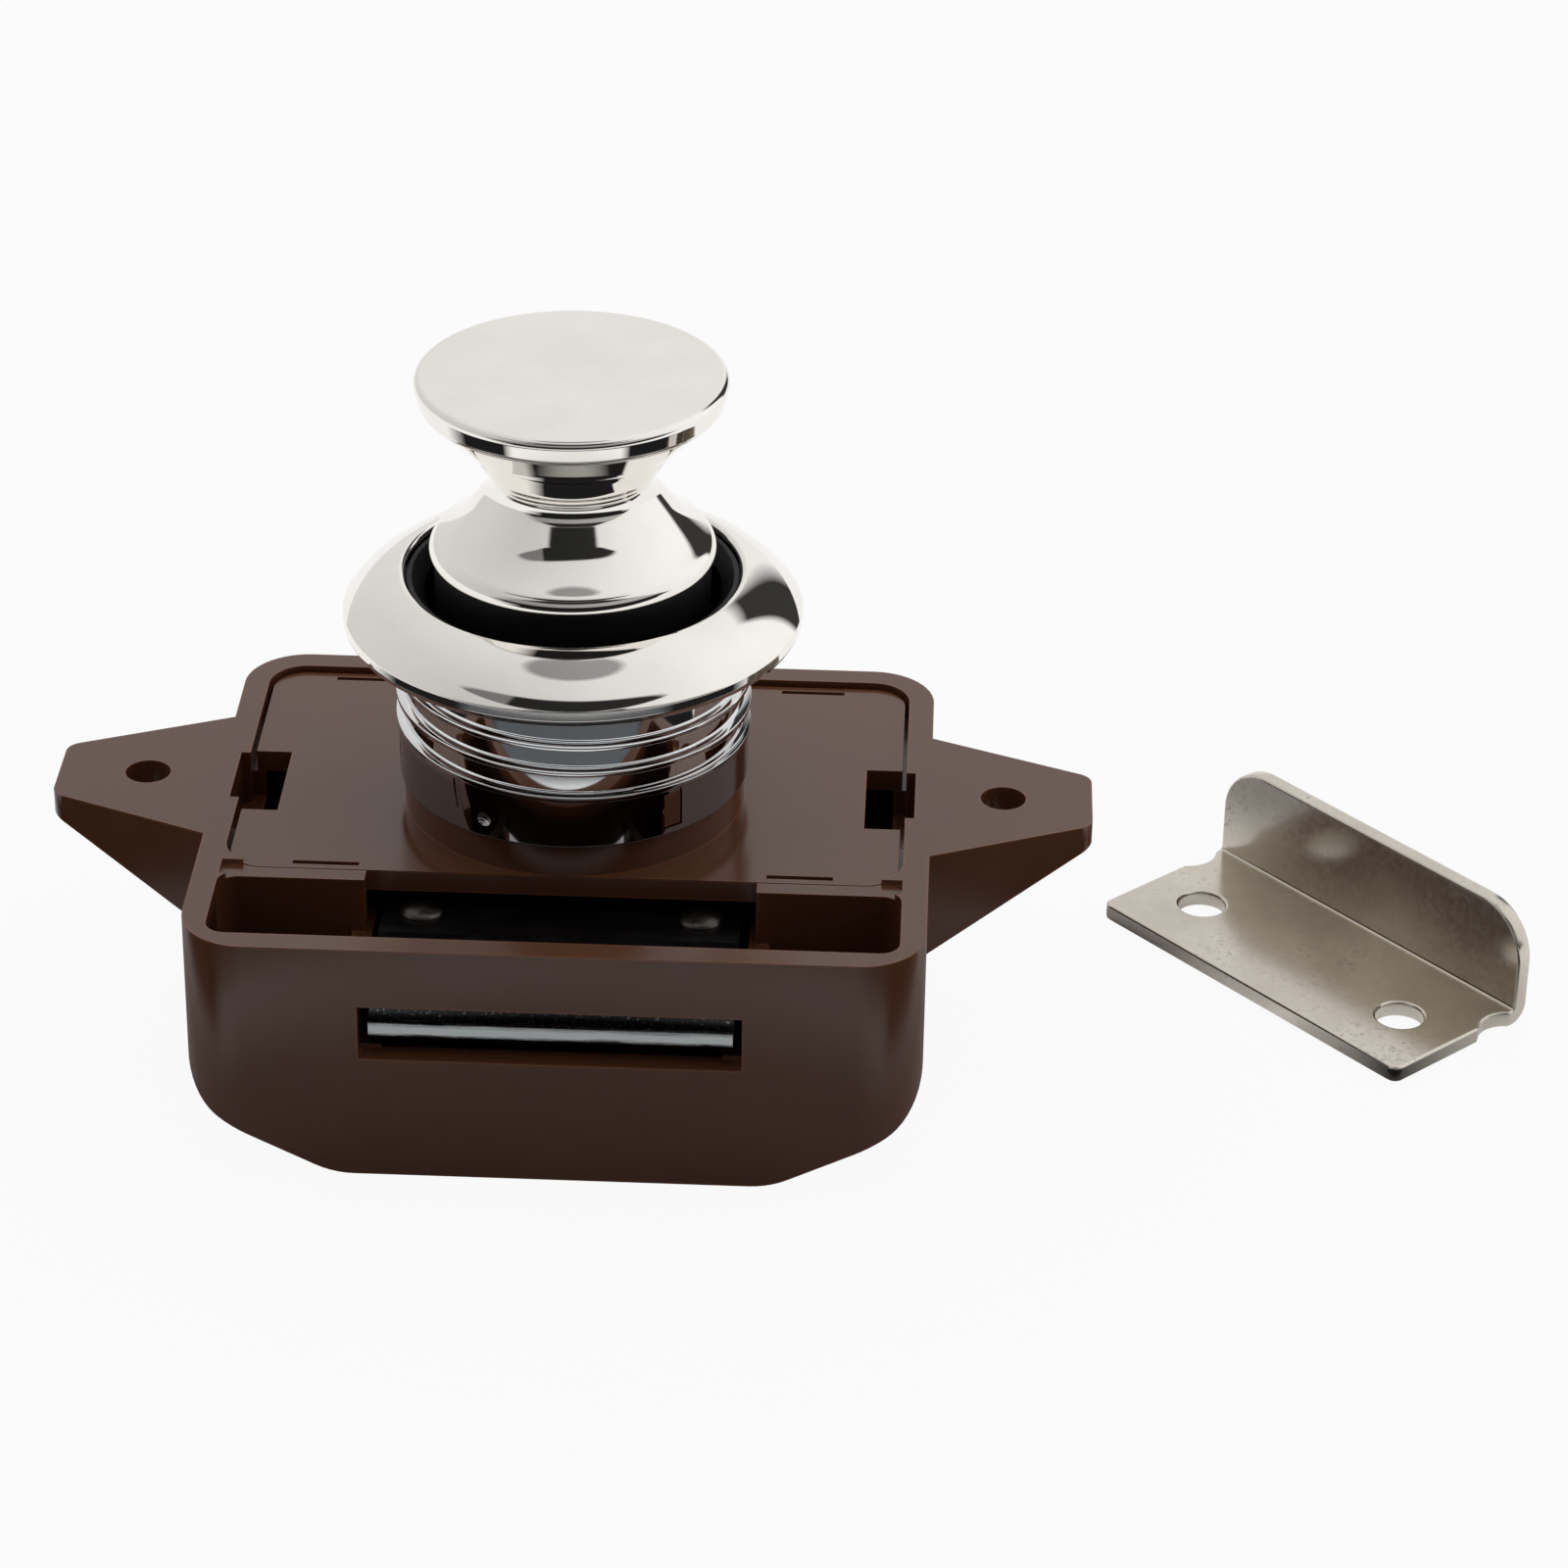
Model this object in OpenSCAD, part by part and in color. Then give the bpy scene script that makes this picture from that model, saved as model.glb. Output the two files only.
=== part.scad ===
// Push button cabinet lock with a case, a pop-out knob, a screwed rosette,
// a sprung bolt in the front slot and a loose strike plate.
// The knob axis is Z, the door face is z = 0 and the bolt leaves towards -Y.
// The knob is drawn popped out, with the bolt inside the case.

/* [Case] */
// Width of the case across its rim
case_w = 50.6; // [50:0.2:58]
// Knob axis to the back face of the case
case_back = 18.3; // [18:0.1:23]
// Knob axis to the front face of the case
case_front = 23.3; // [23:0.1:27]
// Depth of the case behind the door face
case_h = 18; // [18:0.1:21]
// Thickness of the case walls
wall_t = 1.8; // [1.4:0.1:2]
// Thickness of the case floor
floor_t = 1.4; // [1:0.1:1.5]
// Radius of the upright corners
case_corner_r = 4.5; // [3.5:0.1:6]
// Width of the flat underside
flat_w = 30; // [29:0.5:34]
// Height of the upright sides, measured from the door face
side_h = 12.85; // [12.5:0.05:14]
// Radius where a side meets the sloping underside
belly_r = 4.3; // [2:0.1:5]
// Radius where the slope meets the flat underside
flat_r = 6; // [2:0.5:9]
// Width of the ledge that carries the cover
ledge_w = 0.9; // [0.6:0.1:1.2]
// Thickness of the rail between the cover and the front trough
rail_t = 1.3; // [1:0.1:1.6]
// Set-back of the two ends of the rail beside the slot
rail_in = 0.47; // [0.4:0.01:1.4]
// Thickness of the two walls that guide the bolt
guide_t = 1.4; // [1:0.1:2]

/* [Ears] */
// Length of an ear beyond the side of the case
ear_len = 11.4; // [11:0.1:15]
// Screw hole centre beyond the side of the case
ear_hole_off = 5.1; // [4.5:0.1:6]
// Width of an ear where it joins the case
ear_root_w = 16.8; // [14:0.2:20]
// Width of an ear across its tip
ear_tip_w = 7; // [6.4:0.1:9]
// Corner radius of an ear tip
ear_tip_r = 1.3; // [0.6:0.1:2]
// Thickness of an ear at its tip
ear_tip_t = 1.7; // [1.2:0.1:2.2]
// Thickness of an ear where it joins the case
ear_root_t = 8; // [5:0.1:9]
// Diameter of the screw holes
ear_hole_d = 3.2; // [2.8:0.1:4]
// Diameter of the recess for a screw head
ear_spot_d = 6.4; // [6:0.1:7]
// Thickness of the ear left under a screw head
ear_plate_t = 2.4; // [1.8:0.1:3]

/* [Cover] */
// Step of the cover below the rim
cover_drop = 0.41; // [0.2:0.01:0.8]
// Thickness of the cover
cover_t = 1.6; // [1.4:0.1:1.8]
// Gap between the cover and the rim
cover_gap = 0.3; // [0.2:0.05:0.5]
// Knob axis to the front edge of the cover
cover_front = 12; // [11.8:0.1:12.6]
// Corner radius of the cover
cover_corner_r = 2.4; // [1.5:0.1:3]
// Length of the side windows along the edge
window_len = 8.35; // [6:0.05:10]
// Width of the side windows
window_w = 2.54; // [1.5:0.02:3]
// Length of the notches in the rim beside the windows
notch_len = 6.4; // [4:0.1:8]
// Depth of those notches into the rim
notch_w = 0.65; // [0.4:0.05:0.9]
// Height of the collar above the door face
collar_top = 1.95; // [1.5:0.05:2.5]
// Centre of the snap slits either side of the axis
slit_x = 16.4; // [16:0.1:18]
// Length of a snap slit
slit_len = 4.6; // [3:0.1:5]
// Width of a snap slit
slit_w = 0.45; // [0.3:0.05:0.6]

/* [Sleeve] */
// Outside diameter of the thread
thread_d = 25; // [22.6:0.1:27.6]
// Pitch of the thread
thread_pitch = 2; // [1.5:0.1:2.4]
// Depth of the thread
thread_depth = 0.5; // [0.3:0.05:0.7]
// Wall of the sleeve under the thread
sleeve_wall = 0.8; // [0.7:0.05:1]
// Centre of the first thread ridge above the door face
thread_start = 6.46; // [5.8:0.02:7]
// Wall of the cover spigot inside the sleeve
spigot_wall = 0.85; // [0.8:0.05:1.1]
// Height of the windows for the snap teeth
tooth_win_h = 2.7; // [2:0.1:3]
// Width of those windows
tooth_win_w = 1.5; // [1:0.1:2]
// Diameter of the dimples in the smooth band
dimple_d = 1.3; // [0.8:0.1:1.6]

/* [Rosette] */
// Door thickness between the case and the rosette
door_t = 13.42; // [13:0.02:16]
// Outside diameter of the rosette
rosette_d = 32; // [31:0.2:36]
// Height of the rosette
rosette_h = 4.01; // [3.8:0.05:4.5]
// Reach of the rosette lip in over the thread
lip_in = 0.82; // [0.7:0.01:1]
// Thickness of the lip
lip_t = 0.93; // [0.7:0.01:1.1]
// Radius of the dome in section
dome_r = 5.6; // [4.5:0.1:9]
// Thickness of the flange of the black ring
liner_t = 0.7; // [0.5:0.05:0.9]

/* [Knob] */
// Gap between the rosette lip and the knob
knob_gap = 1.3; // [1:0.1:2]
// Height of the knob
knob_h = 13.37; // [12.8:0.05:16]
// Overhang of the knob head beyond the skirt
head_over = 0.93; // [0.4:0.01:1]
// Set-back of the neck from the skirt
neck_in = 4.6; // [4.2:0.05:4.8]
// Height of the neck above the foot of the skirt
neck_z = 5.72; // [5.4:0.02:6]
// Height of the upright part of the skirt
skirt_h = 0.89; // [0.8:0.01:1.1]
// Set-back of the flare of the bell from the skirt
bell_in = 2.02; // [1.8:0.02:2.2]
// Height of that flare above the foot of the skirt
bell_h = 2.3; // [2.1:0.02:2.5]
// Set-back of the hollow under the head from its edge
under_in = 3.28; // [3:0.02:3.6]
// Height of that hollow above the foot of the skirt
under_z = 8.77; // [8.5:0.01:9]
// Height of the rim of the head
rim_h = 1.75; // [1.4:0.05:2]
// Gap between the skirt and the bore it enters
skirt_gap = 0.35; // [0.3:0.05:0.45]
// Stroke of the knob
knob_travel = 11.5; // [10:0.1:11.5]

/* [Bolt] */
// Depth of the slot's upper edge below the door face
slot_z = 4.53; // [4.4:0.01:4.8]
// Height of the front slot
slot_h = 4.1; // [4:0.05:4.4]
// Width of the bolt
bolt_w = 24.8; // [22.4:0.1:27.6]
// Gap between the bolt and each end of the slot
slot_gap = 0.63; // [0.5:0.01:0.8]
// Thickness of the bolt
bolt_t = 3.2; // [2.9:0.05:3.3]
// Nose of the bolt behind the front face
nose_setback = 0.6; // [0.4:0.1:1]
// Height of the flat of the nose
nose_flat = 1; // [0.6:0.1:1.2]
// Depth of the upper bevel behind the nose
nose_bevel = 2.4; // [1.5:0.1:3]
// Travel of the bolt on its carrier
slam = 5.2; // [4.4:0.1:5.2]
// Forward stroke of the carrier for each unit of knob stroke
cam_ratio = 0.5; // [0.4:0.01:0.5]
// Thickness of the carrier plate
carrier_t = 1.5; // [1.2:0.05:1.6]
// Diameter of the drive pins
pin_d = 1.5; // [1.2:0.1:1.6]
// Shank diameter of the bolt rivets
rivet_d = 1.6; // [1.4:0.1:1.8]
// Set-back of the rivets from the sides of the bolt
rivet_in = 2.7; // [2.6:0.1:3]

/* [Plunger and catch] */
// Outside diameter of the plunger tube
tube_d = 16.4; // [16:0.1:16.6]
// Bore of the plunger tube
tube_bore = 13.2; // [12.8:0.1:13.4]
// Mean diameter of the return spring
spring_d = 10.2; // [9.8:0.1:10.6]
// Wire of the return spring
spring_wire = 0.9; // [0.7:0.05:1]
// Turns of the return spring
spring_turns = 9; // [7:1:11]
// Mean diameter of the bolt springs
bolt_spring_d = 2; // [1.8:0.05:2.1]
// Wire of the bolt springs
bolt_spring_wire = 0.4; // [0.3:0.02:0.45]
// Turns of the bolt springs
bolt_spring_turns = 8; // [6:1:9]
// Wire diameter of the catch
catch_d = 0.9; // [0.8:0.05:1]
// Sideways reach of the catch track
catch_reach = 1.6; // [1.2:0.1:1.8]

/* [Strike] */
// Length of the strike
strike_len = 30; // [28:0.5:36]
// Width of its base, up to the bend
strike_w = 12.5; // [11.5:0.1:15]
// Height of its upright flange over the underside
strike_h = 9; // [7.5:0.1:12]
// Sheet thickness
strike_t = 1.25; // [1:0.05:1.5]
// Distance between the strike holes
strike_pitch = 20.2; // [19:0.1:21]
// Diameter of the strike holes
strike_hole_d = 3.5; // [3:0.1:4]
// Hole line from the free edge of the base
strike_hole_y = 5.6; // [4.5:0.1:6]
// Free corner of the strike, to the right of the knob axis
strike_x = 38.37; // [38:0.1:60]
// Free corner of the strike, behind the knob axis
strike_y = 14.17; // [10:0.1:20]
// Turn of the strike on the table
strike_turn = -46.94; // [-60:0.02:-40]

/* [Hidden] */
$fn = 64;

// Clearances
fit = 0.05;
slide_fit = 0.1;
hairline = 0.1;
play = 0.2;
clear = 0.4;
// Overlap that welds two shapes of one piece together
weld = 0.3;
// Overshoot of a cut beyond the face it opens
over = 1;

brown = "#3d2e27";
brown_light = "#4b3a31";
chrome = "#d5d8dc";
black = "#151517";
zinc = "#b4b7bb";
nickel = "#c8c1b2";
steel = "#9da1a6";

// Case levels and edges
half_w = case_w / 2;
floor_z = floor_t - case_h;
inner_x = half_w - wall_t;
inner_front = case_front - wall_t;
inner_back = case_back - wall_t;
cover_z = -cover_drop;
seat_z = cover_z - cover_t;
recess_front = cover_front + hairline;
trough_back = recess_front + rail_t;
main_x = inner_x - ledge_w;
main_back = inner_back - ledge_w;
main_corner_r = 1.5;
slot_w = bolt_w + 2 * slot_gap;
rail_gap = slot_w + 2 * rail_in;
guide_top = -slot_z;
inner_corner_r = case_corner_r - wall_t;

// Cover edges
cover_x = inner_x - cover_gap;
cover_back = inner_back - cover_gap;
slit_edge = 0.55;
leg_t = 1;
leg_h = seat_z - guide_top - clear;
leg_w = slit_len - 2 * play;
nub_h = 1;
nub_out = 0.6;
nub_drop = leg_h - nub_h - play;

// Round pieces, from the thread inwards
band_in = 0.2;
thread_clear = 0.15;
liner_over = 0.3;
liner_flare_h = 1.1;
crest_r = thread_d / 2;
valley_r = crest_r - thread_depth;
band_r = crest_r - band_in;
sleeve_bore_r = valley_r - sleeve_wall;
spigot_r = sleeve_bore_r - fit;
bore_r = spigot_r - spigot_wall;
skirt_r = bore_r - skirt_gap;
guide_r = bore_r - slide_fit;
core_r = skirt_r - skirt_gap;
lip_r = crest_r - lip_in;
rosette_r = rosette_d / 2;
rosette_bore_r = crest_r + thread_clear;
rosette_edge = 1.1;
lip_round = 0.35;
foot_in = 0.35;
foot_h = 0.5;
foot_notch = 1.4;
foot_notch_first = -150;

// Heights of the round pieces
liner_drop = 0.5;
band_gap = 0.4;
spigot_short = 3.1;
tooth_up = 0.55;
dimple_up = 1.25;
lip_top = door_t + rosette_h;
lip_low = lip_top - lip_t;
liner_top = lip_top - liner_drop;
liner_flange_top = lip_low - hairline;
liner_flange_low = liner_flange_top - liner_t;
sleeve_top = liner_flange_low - hairline;
band_top = thread_start - band_gap;
ridge_base = 1.1;
ridge_crest = 0.5;
ridges = floor((sleeve_top - ridge_base / 2 - thread_start) / thread_pitch) + 1;
spigot_top = sleeve_top - spigot_short;
liner_low = spigot_top + clear;
knob_z = lip_top + knob_gap;
teeth_first = -52;
dimples_first = -116;
third = 120;
tooth_win_z = collar_top + tooth_up;
tooth_w = tooth_win_w - 2 * hairline;
tooth_out = band_r - hairline;
dimple_z = collar_top + dimple_up;
base_notch = 1;

// Bolt, carrier and pins
bolt_drop = 0.47;
nose_drop = 1.1;
upright_gap = 0.15;
upright_in = 0.6;
carrier_tail = 2;
pin_in = 0.25;
throw = knob_travel * cam_ratio;
bolt_top = -slot_z - bolt_drop;
bolt_low = bolt_top - bolt_t;
slot_low = -slot_z - slot_h;
nose_y = -(case_front - nose_setback);
nose_top = bolt_top - nose_drop;
nose_low = nose_top - nose_flat;
carrier_low = bolt_top + play;
carrier_top = carrier_low + carrier_t;
carrier_front = throw + clear - inner_front;
carrier_x = bolt_w / 2;
tube_r = tube_d / 2;
ring_clear_r = tube_r + clear;
pin_r = pin_d / 2;
upright_cap = 0.3;
upright_top = seat_z - upright_gap;
pin_z = upright_top - upright_cap - pin_r;
pin_y = throw / 2;
upright_d = 3.4;
upright_y = pin_y - upright_d / 2;
upright_x = tube_r + upright_in;
carrier_back = upright_y + upright_d + carrier_tail;
rivet_x = bolt_w / 2 - rivet_in;
rivet_r = rivet_d / 2;
rivet_y = -12.3;
rivet_head_r = 1.65;
rivet_head_h = 0.7;
rivet_tail_h = 0.9;
rivet_low = bolt_low - play - rivet_tail_h;
bolt_back = -8;
bolt_slot_r = rivet_r + slide_fit;
guide_x = slot_w / 2;
guide_back = 13;
runner_w = 1.4;
runner_x = guide_x - runner_w;
runner_top = bolt_low - play;
rear_runner_top = carrier_low - play;
rear_runner_y = bolt_back + slam + clear;
lug_x = runner_x - play;
lug_d = 1.8;
lug_low = bolt_low + play;
bolt_spring_x = (upright_x + lug_x) / 2;
rear_runner_x = max(runner_x, bolt_spring_x + bolt_spring_d / 2 + bolt_spring_wire / 2 + play);
bolt_spring_z = (bolt_top + bolt_low) / 2;
bolt_spring_end = bolt_spring_wire / 2 + fit;
bolt_spring_len = upright_y - bolt_back - 2 * bolt_spring_end;
post_r = 0.55;
post_len = upright_y - bolt_back - slam - clear;

// Plunger, its spring and the catch
tube_rim = 0.75;
screw_reach = 9.2;
catch_up = 3.1;
catch_out = 1.4;
track_depth = 1;
tip_gap = 0.25;
leaf_up = 0.6;
leaf_over = 0.5;
catch_post_h = 8.4;
peg_drop = 1.4;
rest_x = 0.2;
rest_drop = 1.6;
return_drop = 2.4;
plunger_low = pin_z - pin_r - slide_fit - tube_rim;
tube_bore_r = tube_bore / 2;
roof_t = 3.2;
roof_z = knob_z - roof_t;
collar_low = upright_top + clear + knob_travel;
collar_len = 2.4;
stub_r = 4.2;
stub_len = 4.6;
screw_r = 1.35;
screw_head_r = 2.7;
screw_head_h = 1.6;
screw_end = knob_z + screw_reach;
cross_w = 0.7;
cross_len = 3.4;
spring_wire_r = spring_wire / 2;
spring_end = spring_wire_r + fit;
spring_len = roof_z - floor_z - 2 * spring_end;
post_h = 3;
spring_post_r = spring_d / 2 - spring_wire_r - clear;
catch_r = catch_d / 2;
catch_z = floor_z + catch_up;
catch_y = tube_r + catch_out;
catch_pivot_len = 4.6;
track_floor = tube_r - track_depth;
track_r = catch_r + tip_gap;
catch_tip_y = track_floor + tip_gap;
leaf_t = 0.3;
leaf_w = 4.8;
leaf_y = catch_y + catch_r + tip_gap;
leaf_low = catch_z + catch_r + leaf_up;
catch_post_y = leaf_y + leaf_t;
catch_post_w = 6;
catch_post_top = floor_z + catch_post_h;
peg_r = 0.5;
peg_x = 1.6;
peg_z = catch_post_top - peg_drop;

// Knob section
knob_r = skirt_r + head_over;
knob_lip_r = 0.2;
skirt_round = 0.75;
bell_round = 6;
neck_round = 1.6;
under_round = 6;
rim_in = 0.38;
rim_round = 0.9;
edge_r = 0.5;

// Strike
strike_bend = 1.5;
strike_corner_r = 4;
strike_edge_r = 0.8;
relief_r = 2.3;
relief_in = 0.7;
relief_back = 2.2;

coil_rings = 8;
coil_sides = 6;

function unit(v) = v / norm(v);
function direction(v) = atan2(v[1], v[0]);
function arc(c, r, from, to, n = 8) =
  [for (i = [0 : n]) c + r * [cos(from + (to - from) * i / n), sin(from + (to - from) * i / n)]];
function half_angle(a, p, c) = acos(unit(a - p) * unit(c - p)) / 2;
function corner_centre(a, p, c, r) =
  p + unit(unit(a - p) + unit(c - p)) * r / sin(half_angle(a, p, c));
function corner_cut(a, p, c, r) =
  r == 0 ? [p] : [for (q = [a, c]) p + unit(q - p) * r / tan(half_angle(a, p, c))];
function before(i, n) = (i + n - 1) % n;
function after(i, n) = (i + 1) % n;

// Centre of the circle of radius r through p and q, on the left of p to q
function arc_centre(p, q, r) =
  (p + q) / 2 + unit([p[1] - q[1], q[0] - p[0]]) * sqrt(r * r - norm(q - p) * norm(q - p) / 4);

// Path with its corners rounded, inwards or outwards, by steps of about 15 degrees
function rounded_corner(a, p, c, r) =
  let (m = corner_centre(a, p, c, r), cut = corner_cut(a, p, c, r),
    from = direction(cut[0] - m),
    turn = (direction(cut[1] - m) - from + 540) % 360 - 180)
  arc(m, r, from, from + turn, ceil(abs(turn) / 15));
function rounded_path(pts, radii) =
  let (n = len(pts))
  [for (i = [0 : n - 1]) each radii[i] == 0 ? [pts[i]]
    : rounded_corner(pts[before(i, n)], pts[i], pts[after(i, n)], radii[i])];

// Convex outline with its corners rounded by true arcs
module rounded_polygon(pts, radii) {
  n = len(pts);
  polygon([for (i = [0 : n - 1])
    each corner_cut(pts[before(i, n)], pts[i], pts[after(i, n)], radii[i])]);
  for (i = [0 : n - 1])
    if (radii[i] > 0)
      translate(corner_centre(pts[before(i, n)], pts[i], pts[after(i, n)], radii[i]))
        circle(r = radii[i]);
}

module rounded_rect(half, front, back, r) {
  rounded_polygon([[-half, -front], [half, -front], [half, back], [-half, back]], [r, r, r, r]);
}

// Box centred on x, given by its y and z limits
module slab(width, y0, y1, z0, z1) {
  translate([-width / 2, y0, z0]) cube([width, y1 - y0, z1 - z0]);
}

// Box on one side of the axis, from x0 outwards to x1
module side_box(side, x0, x1, y0, y1, z0, z1) {
  translate([side > 0 ? x0 : -x1, y0, z0]) cube([x1 - x0, y1 - y0, z1 - z0]);
}

module rod_y(x, y0, y1, z, r) {
  translate([x, y0, z]) rotate([-90, 0, 0]) cylinder(r = r, h = y1 - y0);
}

module rod_x(x0, x1, y, z, r) {
  translate([x0, y, z]) rotate([0, 90, 0]) cylinder(r = r, h = x1 - x0);
}

// Front view of the case, with the sloping underside, run through the case
module case_section() {
  translate([0, case_back + over, 0]) rotate([90, 0, 0])
    linear_extrude(case_back + case_front + 2 * over)
      rounded_polygon(
        [[half_w, 0], [-half_w, 0], [-half_w, -side_h], [-flat_w / 2, -case_h],
          [flat_w / 2, -case_h], [half_w, -side_h]],
        [0, 0, belly_r, flat_r, flat_r, belly_r]);
}

// The same view set in by the wall, for the hollow
module hollow_section() {
  slope = atan2(case_h - side_h, half_w - flat_w / 2);
  line_x = flat_w / 2 - wall_t * sin(slope);
  line_z = wall_t * cos(slope) - case_h;
  low_x = line_x + (floor_z - line_z) / tan(slope);
  high_z = line_z + (inner_x - line_x) * tan(slope);
  translate([0, case_back + over, 0]) rotate([90, 0, 0])
    linear_extrude(case_back + case_front + 2 * over)
      polygon([[inner_x, over], [-inner_x, over], [-inner_x, high_z], [-low_x, floor_z],
        [low_x, floor_z], [inner_x, high_z]]);
}

module hollow(half, front, back, r, top) {
  intersection() {
    translate([0, 0, floor_z - over]) linear_extrude(top - floor_z + over)
      rounded_rect(half, front, back, r);
    hollow_section();
  }
}

module ear(side) {
  root_x = half_w - wall_t / 2;
  tip_x = half_w + ear_len;
  grow = (ear_root_w - ear_tip_w) / 2 / ear_len * wall_t / 2;
  mirror([side > 0 ? 0 : 1, 0, 0]) difference() {
    intersection() {
      translate([0, 0, -ear_root_t - over]) linear_extrude(ear_root_t + over)
        rounded_polygon(
          [[root_x, ear_root_w / 2 + grow], [root_x, -ear_root_w / 2 - grow],
            [tip_x, -ear_tip_w / 2], [tip_x, ear_tip_w / 2]],
          [0, 0, ear_tip_r, ear_tip_r]);
      translate([0, ear_root_w, 0]) rotate([90, 0, 0]) linear_extrude(2 * ear_root_w)
        polygon([[root_x - over, over], [tip_x + over, over], [tip_x + over, -ear_tip_t],
          [tip_x, -ear_tip_t], [half_w, -ear_root_t], [root_x - over, -ear_root_t]]);
    }
    translate([half_w + ear_hole_off, 0, -ear_root_t - over])
      cylinder(d = ear_hole_d, h = ear_root_t + 2 * over);
    translate([half_w + ear_hole_off, 0, -ear_root_t - over])
      cylinder(d = ear_spot_d, h = ear_root_t + over - ear_plate_t);
  }
}

// Snap pockets in the case, one for each nub of the cover
module nub_pockets() {
  for (x = [-slit_x, slit_x]) translate([x, 0, 0]) {
    slab(leg_w + 2 * play, -recess_front - nub_out - play, -recess_front + weld,
      seat_z - nub_drop - nub_h - play, seat_z - nub_drop + play);
    slab(leg_w + 2 * play, main_back - weld, main_back + nub_out + play,
      seat_z - nub_drop - nub_h - play, seat_z - nub_drop + play);
  }
}

module case() {
  color(brown) union() {
    difference() {
      union() {
        intersection() {
          translate([0, 0, -case_h]) linear_extrude(case_h)
            rounded_rect(half_w, case_front, case_back, case_corner_r);
          case_section();
        }
        for (side = [-1, 1]) ear(side);
      }
      translate([0, 0, seat_z]) linear_extrude(case_h)
        rounded_rect(inner_x, recess_front, inner_back, inner_corner_r);
      hollow(main_x, recess_front, main_back, main_corner_r, seat_z + weld);
      hollow(inner_x, inner_front, -trough_back, inner_corner_r / 2, over);
      slab(rail_gap, -trough_back - weld, -recess_front + weld, floor_z, over);
      slab(2 * inner_x, -trough_back - weld, -recess_front + weld, cover_z, over);
      slab(slot_w, -case_front - over, -inner_front + weld, slot_low, -slot_z);
      for (side = [-1, 1]) {
        side_box(side, inner_x - weld, inner_x + notch_w, -notch_len / 2, notch_len / 2,
          seat_z - leg_h, over);
        side_box(side, main_x - weld, inner_x, -window_len / 2, window_len / 2,
          seat_z - leg_h, seat_z + weld);
      }
      nub_pockets();
    }
    for (side = [-1, 1]) {
      side_box(side, guide_x, guide_x + guide_t, -inner_front - weld, guide_back,
        floor_z - weld, guide_top);
      side_box(side, runner_x, guide_x + weld, -inner_front - weld, guide_back,
        floor_z - weld, runner_top);
      side_box(side, rear_runner_x, guide_x + weld, rear_runner_y, guide_back,
        floor_z - weld, rear_runner_top);
    }
    translate([0, 0, floor_z - weld]) cylinder(r = spring_post_r, h = post_h + weld);
    difference() {
      slab(catch_post_w, catch_post_y, main_back + weld, floor_z - weld, catch_post_top);
      rod_y(0, catch_post_y - over, catch_y + catch_pivot_len + play, catch_z, catch_r + fit);
    }
    for (x = [-peg_x, peg_x])
      rod_y(x, leaf_y, catch_post_y + weld, peg_z, peg_r);
  }
}

// Snap leg of the cover with its nub, out along -Y when face is -1
module snap_leg(face, wall_y) {
  leg_out = wall_y - face * play;
  leg_in = leg_out - face * leg_t;
  nub_end = wall_y + face * nub_out;
  slab(leg_w, min(leg_out, leg_in), max(leg_out, leg_in), seat_z - leg_h, seat_z + weld);
  slab(leg_w, min(nub_end, leg_in), max(nub_end, leg_in),
    seat_z - nub_drop - nub_h, seat_z - nub_drop);
}

module cover_plate() {
  color(brown_light) difference() {
    union() {
      translate([0, 0, seat_z]) linear_extrude(cover_t)
        rounded_rect(cover_x, cover_front, cover_back, cover_corner_r);
      translate([0, 0, seat_z]) cylinder(r = valley_r, h = collar_top - seat_z);
      translate([0, 0, seat_z]) cylinder(r = spigot_r, h = spigot_top - seat_z);
      for (x = [-slit_x, slit_x]) translate([x, 0, 0]) {
        snap_leg(-1, -recess_front);
        snap_leg(1, main_back);
      }
      for (i = [0 : 2]) rotate([0, 0, teeth_first + i * third])
        translate([bore_r + weld, -tooth_w / 2, tooth_win_z + hairline])
          cube([tooth_out - bore_r - weld, tooth_w, tooth_win_h - 2 * hairline]);
    }
    translate([0, 0, seat_z - over]) cylinder(r = bore_r, h = spigot_top - seat_z + 2 * over);
    for (side = [-1, 1])
      side_box(side, cover_x - window_w, cover_x + over, -window_len / 2, window_len / 2,
        seat_z - over, cover_z + over);
    for (x = [-slit_x, slit_x]) translate([x, 0, 0]) {
      slab(slit_len, slit_edge - cover_front, slit_edge - cover_front + slit_w,
        seat_z + cover_t / 2, cover_z + over);
      slab(slit_len, cover_back - slit_edge - slit_w, cover_back - slit_edge,
        seat_z + cover_t / 2, cover_z + over);
    }
  }
}

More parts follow.
